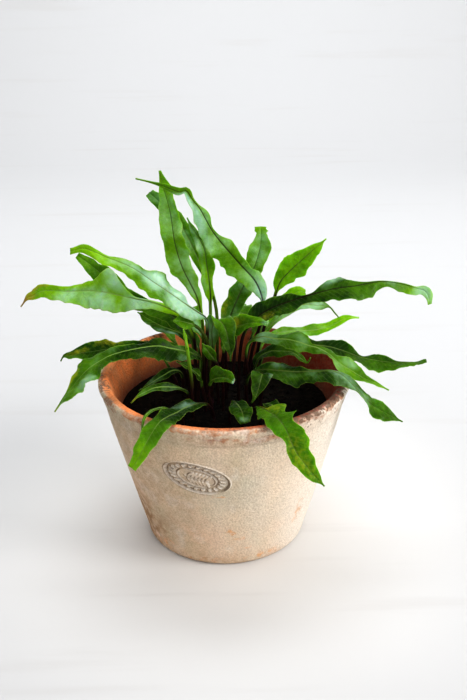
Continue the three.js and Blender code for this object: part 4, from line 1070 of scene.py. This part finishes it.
        tone=0.3, tip=0.62, vein=0.3, spots=[(0.15, -0.5, 0.22, 0.8, 0.3), (0.75, 0.2, 0.3, 1.4, 0.27)],
    ),
    # The far side
    "back_middle": dict(
        root=(6, 32), foot=1, side=(0.9, -0.2, 0), twist=(0, 10, 0), fold=9, wave=(2, 3.4, 0.4),
        rib=[(8, 41, 116), (9, 54, 124), (10, 69, 127), (11, 84, 124), (12, 97, 115)],
        left=[3, 7, 9.5, 8, 6, 4], right=[3, 8, 8, 9.5, 7, 4],
        tone=0.35, tip=0.6, vein=0.3, waxAndSheen=[(0.5, 0, 0.3, 0.8, 0.4)],
    ),
    "back_left": dict(
        root=(-9, 31), foot=1, side=(0.8, 0.3, 0), twist=(0, -10, 0), fold=9, wave=(2, 3.2, 0.9),
        rib=[(-13, 40, 115), (-20, 54, 123), (-28, 69, 126), (-35, 83, 123), (-41, 94, 114)],
        left=[3, 8, 8, 9, 6, 3], right=[3, 6, 9, 7, 6, 3],
        tone=0.4, tip=0.6, vein=0.5, waxAndSheen=[(0.3, 0, 0.3, 0.8, 0.4)],
    ),
    "back_far_left": dict(
        root=(-25, 29), foot=1, side=(0.7, 0.5, 0), twist=(0, 10, 0), fold=10, wave=(1.6, 3, 0.1),
        rib=[(-30, 37, 111), (-38, 50, 118), (-45, 62, 121), (-51, 73, 119), (-55, 79, 115)],
        left=[2.5, 5.5, 6, 5.5, 3], right=[2.5, 5, 6, 5, 3],
        tone=0.3, tip=0.5, vein=0.5,
    ),
    "back_inside_left": dict(
        root=(-31, 19), foot=1, side=(0.6, 0.8, 0), twist=(0, 10, 0), fold=10, wave=(1, 2.4, 0.4),
        rib=[(-36, 25, 103), (-41, 32, 108.5), (-45, 38, 108), (-48, 44, 103.5)],
        left=[2, 4, 4.5, 3], right=[2, 4, 4.5, 3],
        tone=0.2, tip=0.4, vein=0.7,
    ),
    "back_middle_right": dict(
        root=(14, 44), foot=1, side=(0.9, -0.5, 0), twist=(0, 10, 0), fold=9, wave=(1.6, 2.8, 0.6),
        rib=[(19, 52, 112), (25, 62, 121), (31, 73, 123), (37, 83, 118), (41, 89, 110)],
        left=[3, 6.5, 8, 6.5, 4], right=[3, 6, 7, 6, 4],
        tone=0.4, tip=0.65, vein=0.4, waxAndSheen=[(0.4, 0.4, 0.3, 0.8, 0.3)],
    ),
}

frondSpec = dict(
    sink=9, stemRadius=1.05, stemThin=0.55, blade=0.62, edge=0.16, fillet=2.5,
    ringGap=1.35, stemGap=3.2, leastRadius=0.35, endRadius=0.6, groove=0.16, grooveWide=0.42,
    across=(0, 0.05, 0.12, 0.22, 0.34, 0.47, 0.6, 0.72, 0.83, 0.92, 0.975, 1),
    arch=0.05, lobe=0.24, lobeScale=0.17, nibble=0.035, nibbleScale=0.5, quilt=0.2, quiltStep=5.2,
    tornFrom=0.86, tornOver=0.1, torn=0.75, tornScale=0.9,
    ruffle=0.32, ruffleScale=0.15, frill=0.4, frillScale=0.42, leftPhase=0.37,
)


def cubic(p1, p2, slope1, slope2, s):
    # a smooth way from p1 to p2, for numbers or vectors
    bend = 3 * (p2 - p1) - 2 * slope1 - slope2
    return p1 + slope1 * s + bend * s * s + (2 * (p1 - p2) + slope1 + slope2) * s ** 3


def ribCurve(f):
    # the CAD rib: a centripetal Catmull-Rom line, as points, their lengths along it and the blade's start
    x, y = f["root"]
    z, sink = soilTop(x, y), frondSpec["sink"]
    points = [Vector(p) for p in [(x, y, z - sink), (x, y, z - sink / 3), (x, y, z + sink / 3)] + f["rib"]]
    padded = [2 * points[0] - points[1]] + points + [2 * points[-1] - points[-2]]
    perSpan, line = 24, []
    for i in range(len(points) - 1):
        p0, p1, p2, p3 = padded[i:i + 4]
        d0, d1, d2 = [math.sqrt((b - a).length) for a, b in ((p0, p1), (p1, p2), (p2, p3))]
        slope1 = ((p1 - p0) / d0 - (p2 - p0) / (d0 + d1) + (p2 - p1) / d1) * d1
        slope2 = ((p2 - p1) / d1 - (p3 - p1) / (d1 + d2) + (p3 - p2) / d2) * d1
        line += [cubic(p1, p2, slope1, slope2, k / perSpan) for k in range(perSpan)]
    line.append(points[-1])
    lengths = [0.0]
    for a, b in zip(line, line[1:]):
        lengths.append(lengths[-1] + (b - a).length)
    rootPoints = 3
    return line, lengths, lengths[perSpan * (rootPoints + f["foot"] - 1)]


def atLength(line, lengths, length):
    # the point at this length along the line, and its direction
    low, high = 0, len(lengths) - 2
    while low < high:
        mid = (low + high + 1) // 2
        if lengths[mid] <= length:
            low = mid
        else:
            high = mid - 1
    share = (length - lengths[low]) / max(1e-9, lengths[low + 1] - lengths[low])
    here = line[low].lerp(line[low + 1], clamp(share))
    before = line[max(0, low - 1)]
    after = line[min(len(line) - 1, low + 2)]
    way1 = (line[low + 1] - before).normalized()
    way2 = (after - line[low]).normalized()
    return here, way1.lerp(way2, clamp(share)).normalized()


def through(values, x):
    # a smooth line through evenly spaced values, at a share x of its length
    place = clamp(x) * (len(values) - 1)
    i = min(int(place), len(values) - 2)
    p0, p1, p2, p3 = [values[min(max(k, 0), len(values) - 1)] for k in (i - 1, i, i + 1, i + 2)]
    return cubic(p1, p2, (p2 - p0) / 2, (p3 - p1) / 2, place - i)


def halfWidth(f, x, v):
    edge = f["right"] if v > 0 else f["left"]
    end = f.get("end", frondSpec["endRadius"])
    return max(frondSpec["leastRadius"], through([frondSpec["stemRadius"], *edge, end], x))


def edgeRise(f, x, v):
    height, count, start = f["wave"]
    phase = start + (0 if v > 0 else frondSpec["leftPhase"])
    swell = math.sqrt(max(0, math.sin(math.pi * x)))
    return height * swell * math.sin(2 * math.pi * (count * x + phase))


def twistAt(f, x):
    foot, middle, tip = f.get("twist", (0, 0, 0))
    return blend(foot, middle, ease(2 * x)) if x < 0.5 else blend(middle, tip, ease(2 * x - 1))


def bladePoint(f, seed, x, length, v, face):
    # a point of one ring, (across, up) from the rib, and how far it lies from the blade's edge
    spec = frondSpec
    ribRadius = spec["stemRadius"] * (1 - spec["stemThin"] * clamp(x))
    angle = face * math.pi / 2 * (1 - v)
    stem = (ribRadius * math.cos(angle), ribRadius * math.sin(angle))
    if x <= 0:
        return stem, ribRadius
    a = abs(v)
    lane = 3 * seed + (9 if v > 0 else 0)
    w = halfWidth(f, x, v)
    flatness = ease((w - ribRadius) / spec["fillet"])
    body = ease(w / 4)
    # lobes and fine unevenness of the margin, and a torn tip
    lobe = spec["lobe"] * lump(length * spec["lobeScale"], lane, 2) * ease((w - 2) / 3)
    nibble = clamp(spec["nibble"] * (0.5 + lump(length * spec["nibbleScale"], lane, 0)), 0, 0.1)
    torn = f.get("ragged", 0) * ease((x - spec["tornFrom"]) / spec["tornOver"])
    torn = clamp(torn * clamp(0.5 + 1.6 * lump(length * spec["tornScale"], lane, 4)))
    wide = w * (1 + lobe) * (1 - nibble) * (1 - spec["torn"] * torn)
    # the fold, the waved edge, a slight arch, ruffles and the swellings between side veins
    up = a * w * math.tan(math.radians(f["fold"])) + a * a * edgeRise(f, x, v) * body
    up += spec["arch"] * w * math.sin(math.pi * a) * body
    ruffle = lump(length * spec["ruffleScale"], lane, 7)
    ruffle += spec["frill"] * lump(length * spec["frillScale"], lane, 11)
    up += spec["ruffle"] * w * ruffle * a ** 2.2 * body * ease((1 - x) * 8) * ease(x * 8)
    beat = (length * 0.95 + a * w * 0.9) * 2 * math.pi / spec["quiltStep"] + seed
    up += spec["quilt"] * math.sin(beat) * math.sin(math.pi * a) * body
    thick = blend(spec["blade"], spec["edge"], a ** 4) / 2 if a <= 0.999 else 0
    if face < 0:
        up -= max(thick, ribRadius * bell(v * w / (0.8 * ribRadius)))
    else:
        groove = spec["groove"] * bell(v * w / spec["grooveWide"]) if w > 1.5 else 0
        up += thick - groove * flatness
    across = v * max(wide, ribRadius)
    return (blend(stem[0], across, flatness), blend(stem[1], up, flatness)), w * (1 - a)


def patchStrength(patches, x, v):
    # the strongest of some soft patches of a blade here
    return max([0] + [
        most * bell((x - at) / long) * bell((v - place) / wide) for at, place, long, wide, most in patches
    ])


def ringFrame(f, line, lengths, length, start):
    # where a ring lies, the directions across and up from it, and its share of the blade's length
    here, way = atLength(line, lengths, length)
    x = (length - start) / (lengths[-1] - start)
    side = Vector(f["side"])
    side = (side - way * side.dot(way)).normalized()
    side.rotate(Quaternion(way, math.radians(twistAt(f, clamp(x)))))
    return here, side, side.cross(way), x


def growFrond(name, f, seed, material):
    spec = frondSpec
    line, lengths, start = ribCurve(f)
    stemRings = max(4, round(start / spec["stemGap"]))
    bladeRings = max(20, round((lengths[-1] - start) / spec["ringGap"]))
    places = [start * i / stemRings for i in range(stemRings)]
    places += [blend(start, lengths[-1], i / bladeRings) for i in range(bladeRings + 1)]
    frames = [ringFrame(f, line, lengths, length, start) for length in places]
    # a ring runs over the glossy face from left to right and back below, as (share across, face)
    half = [-v for v in spec["across"][:0:-1]] + list(spec["across"])
    ring = [(v, 1) for v in half] + [(v, -1) for v in half[-2::-1]]
    shape = bmesh.new()
    bmesh.ops.create_grid(shape, x_segments=len(ring) - 1, y_segments=len(places) - 1, size=1)
    perPoint = ("across", "along", "under", "margin", "age", "waxAndSheen", "mmAcross", "mmAlong")
    perFrond = ("tone", "tip", "vein", "stem")
    finish = [f.get(key, 0) for key in perFrond]
    layers = addLayers(shape, perPoint + perFrond)
    for vert in shape.verts:
        v, face = ring[round((vert.co.x + 1) / 2 * (len(ring) - 1))]
        r = round((vert.co.y + 1) / 2 * (len(places) - 1))
        here, side, up, x = frames[r]
        (across, lift), margin = bladePoint(f, seed, x, places[r], v, face)
        vert.co = here + side * across + up * lift
        age = patchStrength(f.get("spots", []), x, v)
        waxAndSheen = patchStrength(f.get("waxAndSheen", []), x, v)
        under = 0 if face > 0 or abs(v) > 0.99 else 1
        storeValues(vert, layers, (v, x, under, margin, age, waxAndSheen, across, places[r], *finish))
    bmesh.ops.remove_doubles(shape, verts=shape.verts, dist=0.0005)
    openEdges = [edge for edge in shape.edges if edge.is_boundary]
    bmesh.ops.holes_fill(shape, edges=openEdges, sides=0)
    piece = finishMesh(f"fern_{name}", shape, material)
    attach(piece, "root")
    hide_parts(f"frond_{name}")


bladeLook = dict(
    dark=(0.008, 0.028, 0.0008), middle=(0.070, 0.180, 0.003), fresh=(0.225, 0.45, 0.004), middleAt=0.45,
    under=(0.13, 0.23, 0.05), margin=(0.28, 0.42, 0.08),
    veinDark=(0.016, 0.009, 0.006), veinPale=(0.28, 0.44, 0.10),
    stemDark=(0.018, 0.006, 0.006), stemPale=(0.16, 0.32, 0.02),
    # waxAndSheen is the pale colour of the painted sheen on waxy places
    yellow=(0.30, 0.29, 0.015), brown=(0.26, 0.10, 0.025), waxAndSheen=(0.36, 0.58, 0.43),
    shine=0.1, coatRoughness=0.3, bump=0.5, bumpHeight=0.0003,
    glow=(0.55, 1.0, 0.08), glowReach=0.002,
)


def makeBladeMarks():
    # what lies on every blade: midrib, side veins, pale margin
    tree, given, end = startGroup("blade_marks", {"Rib Width": 0.5}, ["Rib", "Veins", "Margin"])
    x = calculate(tree, "ABSOLUTE", readAttribute(tree, "mmAcross"))
    along = readAttribute(tree, "along")
    thin = times(tree, given["Rib Width"], stepMask(tree, along, 1.25, 0.1))
    rib = stepMask(tree, calculate(tree, "DIVIDE", x, thin), 1.25, 0.6)
    slanted = plus(tree, readAttribute(tree, "mmAlong"), times(tree, x, -0.75))
    wander = noiseTexture(tree, Scale=260.0, Detail=2.0)
    beat = calculate(tree, "PINGPONG", plus(tree, slanted, times(tree, wander, 2.2)), 1.6)
    blade = stepMask(tree, along, 0.02, 0.10)
    veins = times(tree, stepMask(tree, beat, 0.34, 0.0), blade)
    margin = times(tree, stepMask(tree, readAttribute(tree, "margin"), 0.48, 0.12), blade)
    fillInputs(tree, end, {"Rib": rib, "Veins": veins, "Margin": margin})
    return tree


bladeMarks = makeBladeMarks()


def bladeColour(tree, look, marks, mottle, fleck, waxAndSheenMask):
    # green from dark to fresh, then veins, underside, aged places, waxy places painted with a pale sheen,
    # margin, midrib and stem
    along = readAttribute(tree, "along")
    # tone and tip are set per frond, partly painted shade and light
    tones = {0: stepMask(tree, along, 0.35, 1.0)}
    tones.update({2: readAttribute(tree, "tone"), 3: readAttribute(tree, "tip")})
    tone = uneven(tree, addNode(tree, "ShaderNodeMix", tones).outputs[0], mottle, 0.3)
    ramp = addNode(tree, "ShaderNodeValToRGB", {0: uneven(tree, tone, fleck, 0.08)})
    stops = ramp.color_ramp.elements
    stops[0].color, stops[1].color = (*look["dark"], 1), (*look["fresh"], 1)
    stops.new(look["middleAt"]).color = (*look["middle"], 1)
    age = uneven(tree, readAttribute(tree, "age"), fleck, 0.12)
    # the midrib is dark near the foot, and stems are painted darker towards the soil, partly their own darker
    # base and partly painted shade low in the pot
    paleVein = times(tree, readAttribute(tree, "vein"), stepMask(tree, along, 0.02, 0.3))
    aboveSoil = stepMask(tree, readAttribute(tree, "mmAlong"), 26, 58)
    paleStem = times(tree, readAttribute(tree, "stem"), aboveSoil)
    return paintOver(
        tree, ramp.outputs[0], (times(tree, marks["Veins"], 0.065), look["veinPale"]),
        (times(tree, readAttribute(tree, "under"), 0.6), look["under"]),
        (stepMask(tree, age, 0.12, 0.5), look["yellow"]), (stepMask(tree, age, 0.5, 0.9), look["brown"]),
        (times(tree, waxAndSheenMask, 0.8), look["waxAndSheen"]), (times(tree, marks["Margin"], 0.28), look["margin"]),
        (times(tree, marks["Rib"], 0.85), mixColour(tree, paleVein, look["veinDark"], look["veinPale"])),
        (stepMask(tree, along, 0.05, -0.02), mixColour(tree, paleStem, look["stemDark"], look["stemPale"])),
    )


def makeBladeMaterial(name, roughness, coat, subsurface, ribWidth):
    look = bladeLook
    material, tree, shader = startMaterial(name)
    marks = useGroup(tree, bladeMarks, {"Rib Width": ribWidth})
    mottle = cloudMask(tree, 70.0, 5.0, 0.3, 0.7)
    fleck = cloudMask(tree, 420.0, 4.0, 0.35, 0.65, 0.4)
    # waxy places get more coat, and a painted pale sheen in the base colour
    waxAndSheenMask = stepMask(tree, uneven(tree, readAttribute(tree, "waxAndSheen"), mottle, 0.5), 0.15, 1.0)
    gloss = plus(tree, roughness, times(tree, readAttribute(tree, "under"), 0.25))
    relief = plus(tree, marks["Veins"], plus(tree, times(tree, fleck, 0.8), times(tree, mottle, 5.0)))
    fillInputs(tree, shader, {
        "Base Color": bladeColour(tree, look, marks, mottle, fleck, waxAndSheenMask),
        "Roughness": plus(tree, gloss, times(tree, mottle, 0.1)),
        "Coat Weight": plus(tree, coat, times(tree, waxAndSheenMask, 0.7)), "Coat Roughness": look["coatRoughness"],
        "Specular IOR Level": look["shine"], "Subsurface Weight": subsurface,
        "Subsurface Radius": look["glow"], "Subsurface Scale": look["glowReach"],
        "Normal": bumpNormal(tree, look["bump"], look["bumpHeight"], relief),
    })
    return material


bladeMaterials = {
    False: makeBladeMaterial("fern_green", roughness=0.36, coat=0.05, subsurface=0.5, ribWidth=0.5),
    True: makeBladeMaterial("fern_fresh", roughness=0.42, coat=0.03, subsurface=0.8, ribWidth=0.42),
}
for seed, (name, f) in enumerate(fronds.items()):
    growFrond(name, f, seed, bladeMaterials[f.get("young", False)])
print("fronds have grown:", len(fronds))
